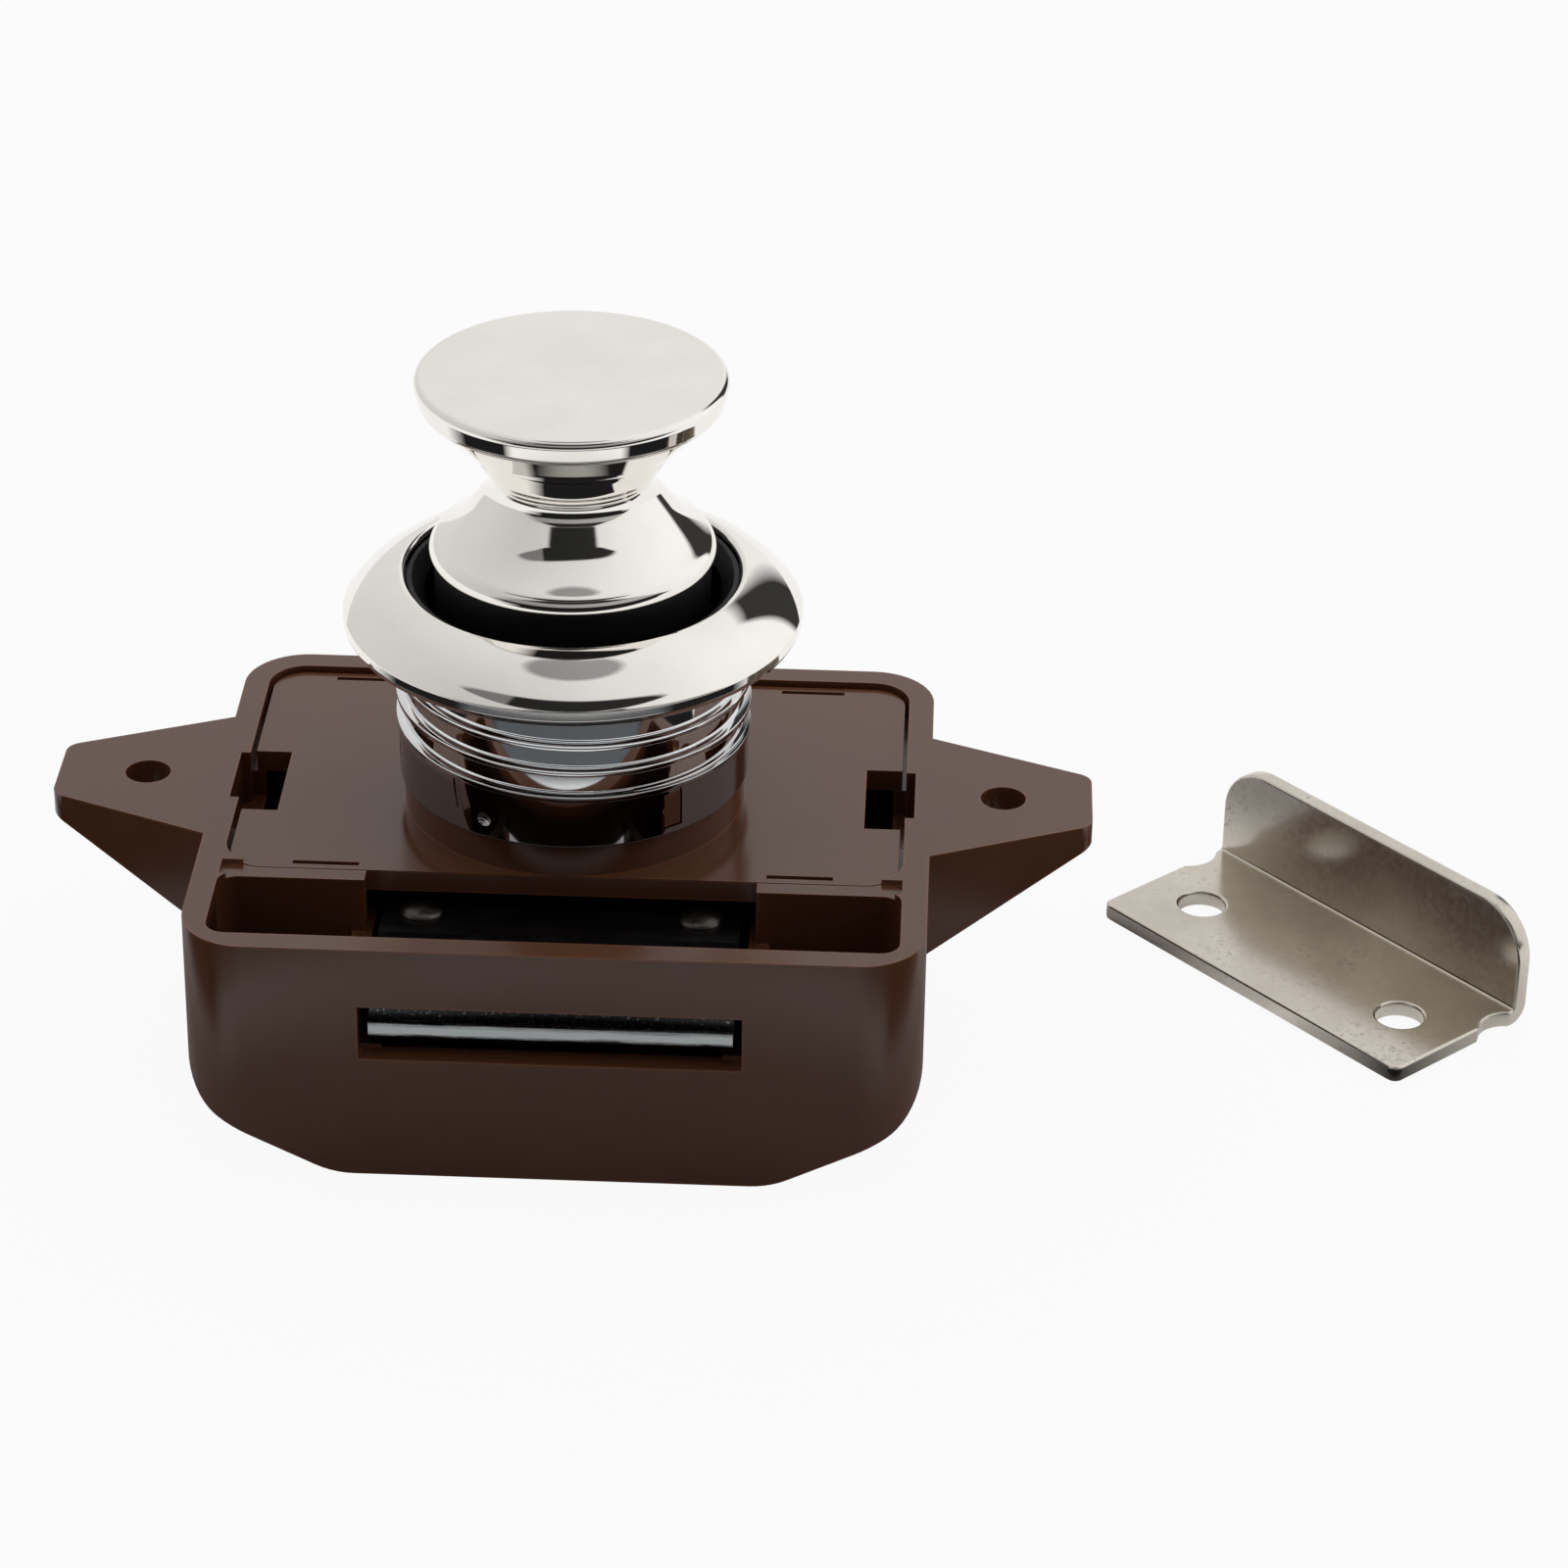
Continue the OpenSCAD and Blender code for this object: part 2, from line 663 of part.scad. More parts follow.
module threaded_sleeve() {
  color(chrome) difference() {
    union() {
      translate([0, 0, collar_top]) cylinder(r = valley_r, h = sleeve_top - collar_top);
      translate([0, 0, collar_top]) cylinder(r = band_r, h = band_top - collar_top);
      for (i = [0 : ridges - 1]) translate([0, 0, thread_start + i * thread_pitch])
        rotate_extrude()
          polygon([[valley_r - weld, -ridge_base / 2], [valley_r, -ridge_base / 2],
            [crest_r, -ridge_crest / 2], [crest_r, ridge_crest / 2],
            [valley_r, ridge_base / 2], [valley_r - weld, ridge_base / 2]]);
    }
    translate([0, 0, collar_top - over])
      cylinder(r = sleeve_bore_r, h = sleeve_top - collar_top + 2 * over);
    for (i = [0 : 2]) {
      rotate([0, 0, teeth_first + i * third])
        translate([spigot_r - weld, -tooth_win_w / 2, tooth_win_z])
          cube([crest_r, tooth_win_w, tooth_win_h]);
      rotate([0, 0, dimples_first + i * third]) {
        rod_x(sleeve_bore_r - weld, crest_r + over, 0, dimple_z, dimple_d / 2);
        translate([sleeve_bore_r - weld, -base_notch / 2, collar_top - over])
          cube([crest_r, base_notch, over + base_notch / 2]);
      }
    }
  }
}

module rosette_flange() {
  edge = [rosette_r, door_t + rosette_edge];
  crown = [lip_r + lip_round, lip_top];
  dome = arc_centre(edge, crown, dome_r);
  color(chrome) difference() {
    rotate_extrude() polygon(concat(
      [[rosette_bore_r, door_t], [rosette_r - foot_in, door_t], [rosette_r, door_t + foot_h]],
      arc(dome, dome_r, direction(edge - dome), direction(crown - dome), 12),
      arc(crown - [0, lip_round], lip_round, 90, 180, 4),
      [[lip_r, lip_low], [rosette_bore_r, lip_low]]));
    for (i = [0 : 2]) rotate([0, 0, foot_notch_first + i * third])
      translate([rosette_r - foot_notch, -foot_notch / 2, door_t - over])
        cube([2 * foot_notch, foot_notch, over + foot_h]);
  }
}

// The flare at the top leaves room for the head when the knob is in
module liner_ring() {
  flare_step = (knob_r + clear - bore_r) * weld / liner_flare_h;
  color(black) difference() {
    union() {
      translate([0, 0, liner_low]) cylinder(r = spigot_r, h = liner_top - liner_low);
      translate([0, 0, liner_flange_low])
        cylinder(r = valley_r + liner_over, h = liner_t);
      translate([0, 0, liner_flange_low])
        cylinder(r = lip_r - slide_fit, h = liner_top - liner_flange_low);
    }
    translate([0, 0, liner_low - over]) cylinder(r = bore_r, h = liner_top - liner_low + 2 * over);
    translate([0, 0, liner_top - liner_flare_h])
      cylinder(r1 = bore_r, r2 = knob_r + clear + flare_step, h = liner_flare_h + weld);
  }
}

module knob() {
  color(chrome) difference() {
    translate([0, 0, knob_z]) rotate_extrude()
      polygon(rounded_path(
        [[0, 0], [skirt_r, 0], [skirt_r, skirt_h], [skirt_r - bell_in, bell_h],
          [skirt_r - neck_in, neck_z], [knob_r - under_in, under_z],
          [knob_r - rim_in, knob_h - rim_h], [knob_r, knob_h], [0, knob_h]],
        [0, knob_lip_r, skirt_round, bell_round, neck_round, under_round, rim_round, edge_r, 0]));
    translate([0, 0, knob_z - over]) cylinder(r = stub_r + fit, h = stub_len + fit + over);
    translate([0, 0, knob_z]) cylinder(r = screw_r + fit, h = screw_end + play - knob_z);
  }
}

// Groove of the catch track between two points of the back of the plunger
module track(a, b) {
  turn = atan2(b[0] - a[0], b[1] - a[1]);
  for (p = [a, b]) rod_y(p[0], track_floor, tube_r + over, p[1], track_r);
  translate([a[0], track_floor, a[1]]) rotate([0, turn, 0])
    translate([-track_r, 0, 0]) cube([2 * track_r, tube_r + over - track_floor, norm(b - a)]);
}

// Inclined slot for the drive pins, through both sides of the tube
module cam_slot() {
  r = pin_r + slide_fit;
  turn = atan2(throw, knob_travel);
  rod_x(-tube_r - over, tube_r + over, pin_y, pin_z, r);
  rod_x(-tube_r - over, tube_r + over, pin_y - throw, pin_z + knob_travel, r);
  translate([0, pin_y, pin_z]) rotate([turn, 0, 0])
    translate([-tube_r - over, -r, 0])
      cube([2 * (tube_r + over), 2 * r, norm([throw, knob_travel])]);
}

module plunger() {
  track_low = [0, pin_z];
  track_high = [catch_reach, pin_z + knob_travel];
  track_rest = [-rest_x, pin_z + knob_travel - rest_drop];
  track_back = [-catch_reach, pin_z + knob_travel - return_drop];
  color(black) difference() {
    union() {
      translate([0, 0, plunger_low]) cylinder(r = tube_r, h = collar_low + weld - plunger_low);
      translate([0, 0, collar_low]) cylinder(r = guide_r, h = collar_len);
      translate([0, 0, collar_low]) cylinder(r = core_r, h = knob_z - collar_low);
      translate([0, 0, collar_low]) cylinder(r = stub_r, h = knob_z + stub_len - collar_low);
    }
    translate([0, 0, plunger_low - over]) cylinder(r = tube_bore_r, h = roof_z - plunger_low + over);
    translate([0, 0, roof_z - over])
      cylinder(r = screw_r + fit, h = knob_z + stub_len - roof_z + 2 * over);
    cam_slot();
    track(track_low, track_high);
    track(track_high, track_rest);
    track(track_rest, track_back);
    track(track_back, track_low);
  }
}

module knob_screw() {
  color(steel) difference() {
    union() {
      translate([0, 0, roof_z - screw_head_h]) cylinder(r = screw_head_r, h = screw_head_h);
      translate([0, 0, roof_z - weld]) cylinder(r = screw_r, h = screw_end - roof_z + weld);
    }
    for (turn = [0, 90]) rotate([0, 0, turn])
      slab(cross_w, -cross_len / 2, cross_len / 2, roof_z - screw_head_h - over,
        roof_z - screw_head_h / 2);
  }
}

function coil_centre(r, length, turns, i) =
  [r * cos(i * 360 / coil_rings), r * sin(i * 360 / coil_rings), length * i / (turns * coil_rings)];

// Least gap of a coil to itself, over points half a turn or more apart
function coil_gap(r, wire_r, length, turns) =
  min([for (i = [0 : turns * coil_rings]) for (j = [i + coil_rings / 2 : 1 : turns * coil_rings])
    norm(coil_centre(r, length, turns, i) - coil_centre(r, length, turns, j))]) - 2 * wire_r;

// One unbroken tube wound along Z
module coil(r, wire_r, length, turns) {
  last = turns * coil_rings;
  lead = atan2(length / turns, 2 * PI * r);
  points = [for (i = [0 : last]) for (k = [0 : coil_sides - 1])
    let (a = i * 360 / coil_rings, b = k * 360 / coil_sides)
      coil_centre(r, length, turns, i)
        + wire_r * cos(b) * [cos(a), sin(a), 0]
        + wire_r * sin(b) * [sin(a) * sin(lead), -cos(a) * sin(lead), cos(lead)]];
  sides = [for (i = [0 : last - 1]) for (k = [0 : coil_sides - 1])
    let (p = i * coil_sides + k, q = i * coil_sides + (k + 1) % coil_sides)
      each [[p, q, p + coil_sides], [q, q + coil_sides, p + coil_sides]]];
  ends = [for (k = [1 : coil_sides - 2])
    each [[0, k + 1, k],
      [last * coil_sides, last * coil_sides + k, last * coil_sides + k + 1]]];
  polyhedron(points, concat(sides, ends));
}

module return_spring() {
  echo(str("return spring, least gap mm ",
    coil_gap(spring_d / 2, spring_wire_r, spring_len, spring_turns)));
  color(steel) translate([0, 0, floor_z + spring_end])
    coil(spring_d / 2, spring_wire_r, spring_len, spring_turns);
}

module bolt() {
  color(zinc) difference() {
    translate([-bolt_w / 2, 0, 0]) rotate([90, 0, 90]) linear_extrude(bolt_w)
      polygon([[nose_y, nose_low], [nose_y, nose_top], [nose_y + nose_bevel, bolt_top],
        [bolt_back, bolt_top], [bolt_back, bolt_low],
        [nose_y + nose_low - bolt_low, bolt_low]]);
    translate([0, -slam, bolt_low - over]) cylinder(r = ring_clear_r, h = bolt_t + 2 * over);
    for (x = [-rivet_x, rivet_x]) {
      for (y = [rivet_y + slide_fit, rivet_y - slam - slide_fit])
        translate([x, y, bolt_low - over]) cylinder(r = bolt_slot_r, h = bolt_t + 2 * over);
      translate([x - bolt_slot_r, rivet_y - slam - slide_fit, bolt_low - over])
        cube([2 * bolt_slot_r, slam + 2 * slide_fit, bolt_t + 2 * over]);
    }
  }
}

module bolt_carrier() {
  color(steel) difference() {
    union() {
      slab(2 * carrier_x, carrier_front, carrier_back, carrier_low, carrier_top);
      for (side = [-1, 1]) {
        side_box(side, upright_x, carrier_x, upright_y, upright_y + upright_d,
          carrier_low, upright_top);
        side_box(side, upright_x, lug_x, upright_y, upright_y + lug_d, lug_low, carrier_top);
        rod_y(side * bolt_spring_x, upright_y - post_len, upright_y + weld, bolt_spring_z, post_r);
      }
    }
    translate([0, 0, carrier_low - over]) cylinder(r = ring_clear_r, h = carrier_t + 2 * over);
    slab(2 * ring_clear_r, 0, carrier_back + over, carrier_low - over, carrier_top + over);
    rod_x(-carrier_x - over, carrier_x + over, pin_y, pin_z, pin_r);
    for (x = [-rivet_x, rivet_x])
      translate([x, rivet_y, carrier_low - over]) cylinder(r = rivet_r, h = carrier_t + 2 * over);
  }
}

module drive_pin(side) {
  inner = tube_bore_r - pin_in;
  color(steel) mirror([side > 0 ? 0 : 1, 0, 0]) rod_x(inner, carrier_x, pin_y, pin_z, pin_r);
}

module drive_pin_left() { drive_pin(-1); }
module drive_pin_right() { drive_pin(1); }

module bolt_rivet(side) {
  color(steel) translate([side * rivet_x, rivet_y, 0]) {
    translate([0, 0, rivet_low]) cylinder(r = rivet_head_r, h = rivet_tail_h);
    translate([0, 0, rivet_low]) cylinder(r = rivet_r, h = carrier_top + weld - rivet_low);
    translate([0, 0, carrier_top]) cylinder(r = rivet_head_r, h = rivet_head_h);
  }
}

module bolt_rivet_left() { bolt_rivet(-1); }
module bolt_rivet_right() { bolt_rivet(1); }

module bolt_spring(side) {
  echo(str("bolt spring, least gap mm ",
    coil_gap(bolt_spring_d / 2, bolt_spring_wire / 2, bolt_spring_len, bolt_spring_turns)));
  color(steel) translate([side * bolt_spring_x, bolt_back + bolt_spring_end, bolt_spring_z])
    rotate([-90, 0, 0])
      coil(bolt_spring_d / 2, bolt_spring_wire / 2, bolt_spring_len, bolt_spring_turns);
}

module bolt_spring_left() { bolt_spring(-1); }
module bolt_spring_right() { bolt_spring(1); }

module catch_wire() {
  color(steel) {
    rod_y(0, catch_tip_y, catch_y, pin_z, catch_r);
    translate([0, catch_y, catch_z]) cylinder(r = catch_r, h = pin_z - catch_z);
    rod_y(0, catch_y, catch_y + catch_pivot_len, catch_z, catch_r);
    for (z = [catch_z, pin_z]) translate([0, catch_y, z]) sphere(r = catch_r);
  }
}

module catch_leaf() {
  color(steel) difference() {
    slab(leaf_w, leaf_y, leaf_y + leaf_t, leaf_low, pin_z + catch_r + leaf_over);
    for (x = [-peg_x, peg_x]) rod_y(x, leaf_y - over, leaf_y + over, peg_z, peg_r);
  }
}

// Square corner minus its quarter round, the cut that rounds an upright edge
module edge_cut(r, depth) {
  difference() {
    translate([-over, -over, 0]) cube([r + over, r + over, depth]);
    translate([r, r, -over]) cylinder(r = r, h = depth + 2 * over);
  }
}

module strike_plate() {
  color(nickel) translate([strike_x, strike_y, -case_h]) rotate([0, 0, strike_turn]) difference() {
    rotate([90, 0, 90]) linear_extrude(strike_len) difference() {
      union() {
        square([strike_w + strike_t, strike_t]);
        translate([strike_w, 0]) square([strike_t, strike_h]);
      }
      translate([strike_w + strike_t, 0]) difference() {
        translate([-strike_bend, -over]) square([strike_bend + over, strike_bend + over]);
        translate([-strike_bend, strike_bend]) circle(r = strike_bend);
      }
    }
    for (x = [-1, 1]) translate([strike_len / 2 + x * strike_pitch / 2, strike_hole_y, -over])
      cylinder(d = strike_hole_d, h = strike_t + 2 * over);
    for (x = [relief_in - relief_r, strike_len - relief_in + relief_r])
      translate([x, strike_w - relief_back, -over]) cylinder(r = relief_r, h = strike_t + 2 * over);
    translate([0, 0, -over]) edge_cut(strike_edge_r, strike_t + 2 * over);
    translate([strike_len, 0, -over]) rotate([0, 0, 90]) edge_cut(strike_edge_r, strike_t + 2 * over);
    translate([0, strike_w - over, strike_h]) rotate([-90, 0, 0])
      edge_cut(strike_corner_r, strike_t + 2 * over);
    translate([strike_len, strike_w - over, strike_h]) rotate([-90, 90, 0])
      edge_cut(strike_corner_r, strike_t + 2 * over);
  }
}

case();
cover_plate();
threaded_sleeve();
rosette_flange();
liner_ring();
knob();
plunger();
knob_screw();
return_spring();
bolt();
bolt_carrier();
drive_pin_left();
drive_pin_right();
bolt_rivet_left();
bolt_rivet_right();
bolt_spring_left();
bolt_spring_right();
catch_wire();
catch_leaf();
strike_plate();
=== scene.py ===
import bpy
import bmesh
import math
from mathutils import Matrix, Vector


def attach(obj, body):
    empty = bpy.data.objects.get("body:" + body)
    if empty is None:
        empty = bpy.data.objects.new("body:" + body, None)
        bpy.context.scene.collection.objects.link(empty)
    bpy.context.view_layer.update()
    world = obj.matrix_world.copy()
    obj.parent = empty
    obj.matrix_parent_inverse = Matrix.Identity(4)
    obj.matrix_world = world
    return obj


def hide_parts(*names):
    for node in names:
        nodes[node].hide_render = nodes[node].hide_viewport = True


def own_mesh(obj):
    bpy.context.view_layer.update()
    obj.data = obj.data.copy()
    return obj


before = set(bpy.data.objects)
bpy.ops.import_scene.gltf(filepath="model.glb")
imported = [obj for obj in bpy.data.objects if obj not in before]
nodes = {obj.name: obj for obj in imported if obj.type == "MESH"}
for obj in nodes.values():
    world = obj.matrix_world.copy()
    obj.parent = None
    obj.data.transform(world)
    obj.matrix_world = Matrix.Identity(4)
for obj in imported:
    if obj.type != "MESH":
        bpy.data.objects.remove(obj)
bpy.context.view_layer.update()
scene = bpy.context.scene
mm = 0.001
print("frame loaded,", len(nodes), "nodes")


# Mesh helpers, all sizes in mm
def addObject(name, mesh):
    piece = bpy.data.objects.new(name, mesh)
    scene.collection.objects.link(piece)
    return piece


def meshFrom(bm, name, sharpAngle=32):
    bmesh.ops.recalc_face_normals(bm, faces=bm.faces)
    mesh = bpy.data.meshes.new(name)
    bm.to_mesh(mesh)
    bm.free()
    for face in mesh.polygons:
        face.use_smooth = True
    mesh.set_sharp_from_angle(angle=math.radians(sharpAngle))
    return mesh


def filletPath(points, steps=8):
    # each point is radius, height, fillet; the path comes back with its corners rounded
    count = len(points)
    path = []
    for i, (r, z, fillet) in enumerate(points):
        here = Vector((r, z))
        if fillet == 0:
            path.append(here)
            continue
        toLast = (Vector(points[i - 1][:2]) - here).normalized()
        toNext = (Vector(points[(i + 1) % count][:2]) - here).normalized()
        half = toLast.angle(toNext) / 2
        centre = here + (toLast + toNext).normalized() * fillet / math.sin(half)
        first = here + toLast * fillet / math.tan(half) - centre
        last = here + toNext * fillet / math.tan(half) - centre
        sweep = first.angle_signed(last)
        for k in range(steps + 1):
            turn = Matrix.Rotation(-sweep * k / steps, 2)
            path.append(centre + turn @ first)
    return path


def held(path, long=0.5, inset=0.04):
    # extra points close to both ends of each long straight run, so that it shades flat
    kept = []
    for last, here in zip([path[-1], *path], path):
        run = Vector(here) - Vector(last)
        if kept and run.length > long:
            step = run.normalized() * inset
            kept += [Vector(last) + step, Vector(here) - step]
        kept.append(Vector(here))
    return kept


def lathe(name, path, segments=192, sharpAngle=32):
    # turns a closed path of radius and height round Z
    path = held(path)
    bm = bmesh.new()
    rings = []
    for r, z in path:
        if r < 1e-4:
            rings.append([bm.verts.new((0, 0, z * mm))])
            continue
        ring = []
        for k in range(segments):
            a = 2 * math.pi * k / segments
            ring.append(bm.verts.new((r * mm * math.cos(a), r * mm * math.sin(a), z * mm)))
        rings.append(ring)
    for i in range(len(rings)):
        low, high = rings[i - 1], rings[i]
        if len(low) == 1 and len(high) == 1:
            continue
        for k in range(segments):
            j = (k + 1) % segments
            corners = [low[k % len(low)], low[j % len(low)], high[j % len(high)], high[k % len(high)]]
            bm.faces.new(list(dict.fromkeys(corners)))
    return addObject(name, meshFrom(bm, name, sharpAngle))


def boxInto(bm, low, high, turn=0.0):
    spin = Matrix.Rotation(math.radians(turn), 4, "Z")
    made = bmesh.ops.create_cube(bm, size=1)
    size = [(b - a) * mm for a, b in zip(low, high)]
    centre = [(a + b) / 2 * mm for a, b in zip(low, high)]
    place = spin @ Matrix.Translation(centre) @ Matrix.Diagonal((*size, 1))
    bmesh.ops.transform(bm, matrix=place, verts=made["verts"])


def ballInto(bm, radius, centre):
    made = bmesh.ops.create_icosphere(bm, subdivisions=3, radius=radius * mm)
    bmesh.ops.translate(bm, verts=made["verts"], vec=[v * mm for v in centre])


def settle(piece):
    # evaluates the modifiers into a plain mesh and removes them
    graph = bpy.context.evaluated_depsgraph_get()
    mesh = bpy.data.meshes.new_from_object(piece.evaluated_get(graph))
    piece.modifiers.clear()
    piece.data = mesh


def cutAway(piece, bm, sharpAngle=32):
    cutter = addObject("cutter", meshFrom(bm, "cutter"))
    cut = piece.modifiers.new("cut", "BOOLEAN")
    cut.object = cutter
    cut.operation = "DIFFERENCE"
    cut.solver = "EXACT"
    bpy.context.view_layer.update()
    settle(piece)
    bpy.data.objects.remove(cutter)
    piece.data.set_sharp_from_angle(angle=math.radians(sharpAngle))


def softCopy(node, name, width, steps=2, angle=28):
    # a CAD node with its triangles joined and its edges rounded
    bm = bmesh.new()
    bm.from_mesh(nodes[node].data)
    bmesh.ops.remove_doubles(bm, verts=bm.verts, dist=1e-6)
    bmesh.ops.dissolve_limit(bm, angle_limit=math.radians(0.5), verts=bm.verts, edges=bm.edges)
    for face in bm.faces:
        face.smooth = True
    mesh = bpy.data.meshes.new(name)
    bm.to_mesh(mesh)
    bm.free()
    mesh.materials.clear()
    piece = addObject(name, mesh)
    soft = piece.modifiers.new("edges", "BEVEL")
    soft.width = width * mm
    soft.segments = steps
    soft.limit_method = "ANGLE"
    soft.angle_limit = math.radians(angle)
    soft.use_clamp_overlap = True
    soft.miter_outer = "MITER_ARC"
    even = piece.modifiers.new("even", "WEIGHTED_NORMAL")
    even.weight = 80
    even.keep_sharp = True
    bpy.context.view_layer.update()
    settle(piece)
    return piece


def dress(piece, body, slot, material, *replaced):
    piece.data.materials.clear()
    piece.data.materials.append(material)
    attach(piece, body)
    if replaced:
        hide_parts(*replaced)


# Shader helpers
def addNode(tree, kind, **values):
    node = tree.nodes.new(kind)
    for key, value in values.items():
        setattr(node, key, value)
    return node


def newGroup(name, inputs, outputs):
    tree = bpy.data.node_groups.new(name, "ShaderNodeTree")
    for socketName, kind, value in inputs:
        socket = tree.interface.new_socket(name=socketName, in_out="INPUT", socket_type=kind)
        socket.default_value = value
    for socketName, kind in outputs:
        tree.interface.new_socket(name=socketName, in_out="OUTPUT", socket_type=kind)
    return tree, tree.nodes.new("NodeGroupInput"), tree.nodes.new("NodeGroupOutput")


def mathNode(tree, operation, first, second=None):
    node = addNode(tree, "ShaderNodeMath", operation=operation)
    for i, value in enumerate((first, second)):
        if value is None:
            continue
        if isinstance(value, (int, float)):
            node.inputs[i].default_value = value
        else:
            tree.links.new(value, node.inputs[i])
    return node.outputs[0]


def mapRange(tree, value, fromLow, fromHigh, toLow, toHigh):
    node = addNode(tree, "ShaderNodeMapRange", clamp=True)
    tree.links.new(value, node.inputs["Value"])
    for key, number in (("From Min", fromLow), ("From Max", fromHigh), ("To Min", toLow), ("To Max", toHigh)):
        if isinstance(number, (int, float)):
            node.inputs[key].default_value = number
        else:
            tree.links.new(number, node.inputs[key])
    return node.outputs["Result"]


# Fine scratches and cloudy film, shared by all the finishes
def makeRubMarks():
    tree, given, out = newGroup("rubMarks", [
        ("Vector", "NodeSocketVector", (0, 0, 0)),
        ("Cloud scale", "NodeSocketFloat", 180.0),
        ("Scratch scale", "NodeSocketFloat", 900.0),
        ("Stretch", "NodeSocketVector", (0.04, 1.0, 1.0)),
    ], [("Cloud", "NodeSocketFloat"), ("Scratch", "NodeSocketFloat")])
    link = tree.links.new
    cloud = addNode(tree, "ShaderNodeTexNoise")
    cloud.inputs["Detail"].default_value = 5.0
    cloud.inputs["Roughness"].default_value = 0.6
    link(given.outputs["Vector"], cloud.inputs["Vector"])
    link(given.outputs["Cloud scale"], cloud.inputs["Scale"])
    pull = addNode(tree, "ShaderNodeVectorMath", operation="MULTIPLY")
    link(given.outputs["Vector"], pull.inputs[0])
    link(given.outputs["Stretch"], pull.inputs[1])
    scratch = addNode(tree, "ShaderNodeTexNoise")
    scratch.inputs["Detail"].default_value = 8.0
    scratch.inputs["Roughness"].default_value = 0.75
    link(pull.outputs[0], scratch.inputs["Vector"])
    link(given.outputs["Scratch scale"], scratch.inputs["Scale"])
    link(cloud.outputs["Fac"], out.inputs["Cloud"])
    link(scratch.outputs["Fac"], out.inputs["Scratch"])
    return tree


# How close a point is to a moulded edge, from 0 on the flat to 1 on the edge
def makeEdgeMask():
    tree, given, out = newGroup("edgeMask", [
        ("Low", "NodeSocketFloat", 0.004),
        ("High", "NodeSocketFloat", 0.12),
    ], [("Edge", "NodeSocketFloat")])
    link = tree.links.new
    bevel = addNode(tree, "ShaderNodeBevel", samples=6)
    bevel.inputs["Radius"].default_value = 0.35 * mm
    surface = addNode(tree, "ShaderNodeNewGeometry")
    dot = addNode(tree, "ShaderNodeVectorMath", operation="DOT_PRODUCT")
    link(bevel.outputs["Normal"], dot.inputs[0])
    link(surface.outputs["Normal"], dot.inputs[1])
    away = mathNode(tree, "SUBTRACT", 1.0, dot.outputs["Value"])
    edge = mapRange(tree, away, given.outputs["Low"], given.outputs["High"], 0.0, 1.0)
    link(edge, out.inputs["Edge"])
    return tree


rubMarks = makeRubMarks()
edgeMask = makeEdgeMask()


def useGroup(tree, group, vector=None, **values):
    node = addNode(tree, "ShaderNodeGroup", node_tree=group)
    if vector is not None:
        tree.links.new(vector, node.inputs["Vector"])
    for key, value in values.items():
        node.inputs[key.replace("_", " ")].default_value = value
    return node


def newMaterial(name):
    material = bpy.data.materials.new(name)
    material.use_nodes = True
    tree = material.node_tree
    shader = tree.nodes["Principled BSDF"]
    place = addNode(tree, "ShaderNodeTexCoord")
    return material, tree, shader, place.outputs["Object"]


def mixColours(tree, factor, first, second):
    # each colour is a plain one or the output of another node
    node = addNode(tree, "ShaderNodeMix", data_type="RGBA")
    tree.links.new(factor, node.inputs["Factor"])
    for i, colour in ((6, first), (7, second)):
        if isinstance(colour, tuple):
            node.inputs[i].default_value = (*colour, 1)
        else:
            tree.links.new(colour, node.inputs[i])
    return node.outputs[2]


def splitPlace(tree, where):
    node = addNode(tree, "ShaderNodeSeparateXYZ")
    tree.links.new(where, node.inputs[0])
    return node.outputs


def bumpFrom(tree, height, strength, distance):
    node = addNode(tree, "ShaderNodeBump")
    node.inputs["Strength"].default_value = strength
    node.inputs["Distance"].default_value = distance * mm
    tree.links.new(height, node.inputs["Height"])
    return node.outputs["Normal"]


# Painted shade darkening the plastic down in the front trough, from 0 at its lip to 1 below
def wellShadeMask(tree, where, well):
    spot = splitPlace(tree, where)
    soft = well["soft"]
    across = mathNode(tree, "ABSOLUTE", spot["X"])
    mask = mapRange(tree, across, (well["half"] - soft) * mm, (well["half"] + soft) * mm, 1.0, 0.0)
    for edge, start, end in zip(well["y"], (0.0, 1.0), (1.0, 0.0)):
        part = mapRange(tree, spot["Y"], (edge - soft) * mm, (edge + soft) * mm, start, end)
        mask = mathNode(tree, "MULTIPLY", mask, part)
    fade = mapRange(tree, spot["Z"], well["deep"] * mm, well["top"] * mm, 1.0, 0.0)
    foot = mapRange(tree, spot["Z"], well["bottom"] * mm, (well["bottom"] + 0.4) * mm, 0.0, 1.0)
    return mathNode(tree, "MULTIPLY", mask, mathNode(tree, "MULTIPLY", fade, foot))


# Brown moulded plastic of the case and its cover, with a painted glint along its edges and painted shade down
# in its trough
def makeBrownPlastic(name, look):
    material, tree, shader, where = newMaterial(name)
    link = tree.links.new
    marks = useGroup(tree, rubMarks, where, Cloud_scale=look["cloud"], Scratch_scale=look["grain"],
                     Stretch=(1, 1, 1))
    edge = useGroup(tree, edgeMask)
    tone = mixColours(tree, mapRange(tree, marks.outputs["Cloud"], 0.3, 0.7, 0.0, 1.0),
                      look["dark"], look["light"])
    # painted glint: the moulded edges are lightened towards an orange highlight colour
    edgeGlint = mathNode(tree, "MULTIPLY", edge.outputs["Edge"], look["edge"])
    warm = mixColours(tree, edgeGlint, tone, look["glint"])
    # painted shade: down in the trough the colour is mixed towards a dark shade
    deep = mixColours(tree, wellShadeMask(tree, where, look["well"]), warm, look["shade"])
    link(deep, shader.inputs["Base Color"])
    link(mapRange(tree, marks.outputs["Cloud"], 0.25, 0.75, look["rough"][0], look["rough"][1]),
         shader.inputs["Roughness"])
    link(bumpFrom(tree, marks.outputs["Scratch"], look["bump"], 0.02), shader.inputs["Normal"])
    shader.inputs["IOR"].default_value = 1.52
    return material
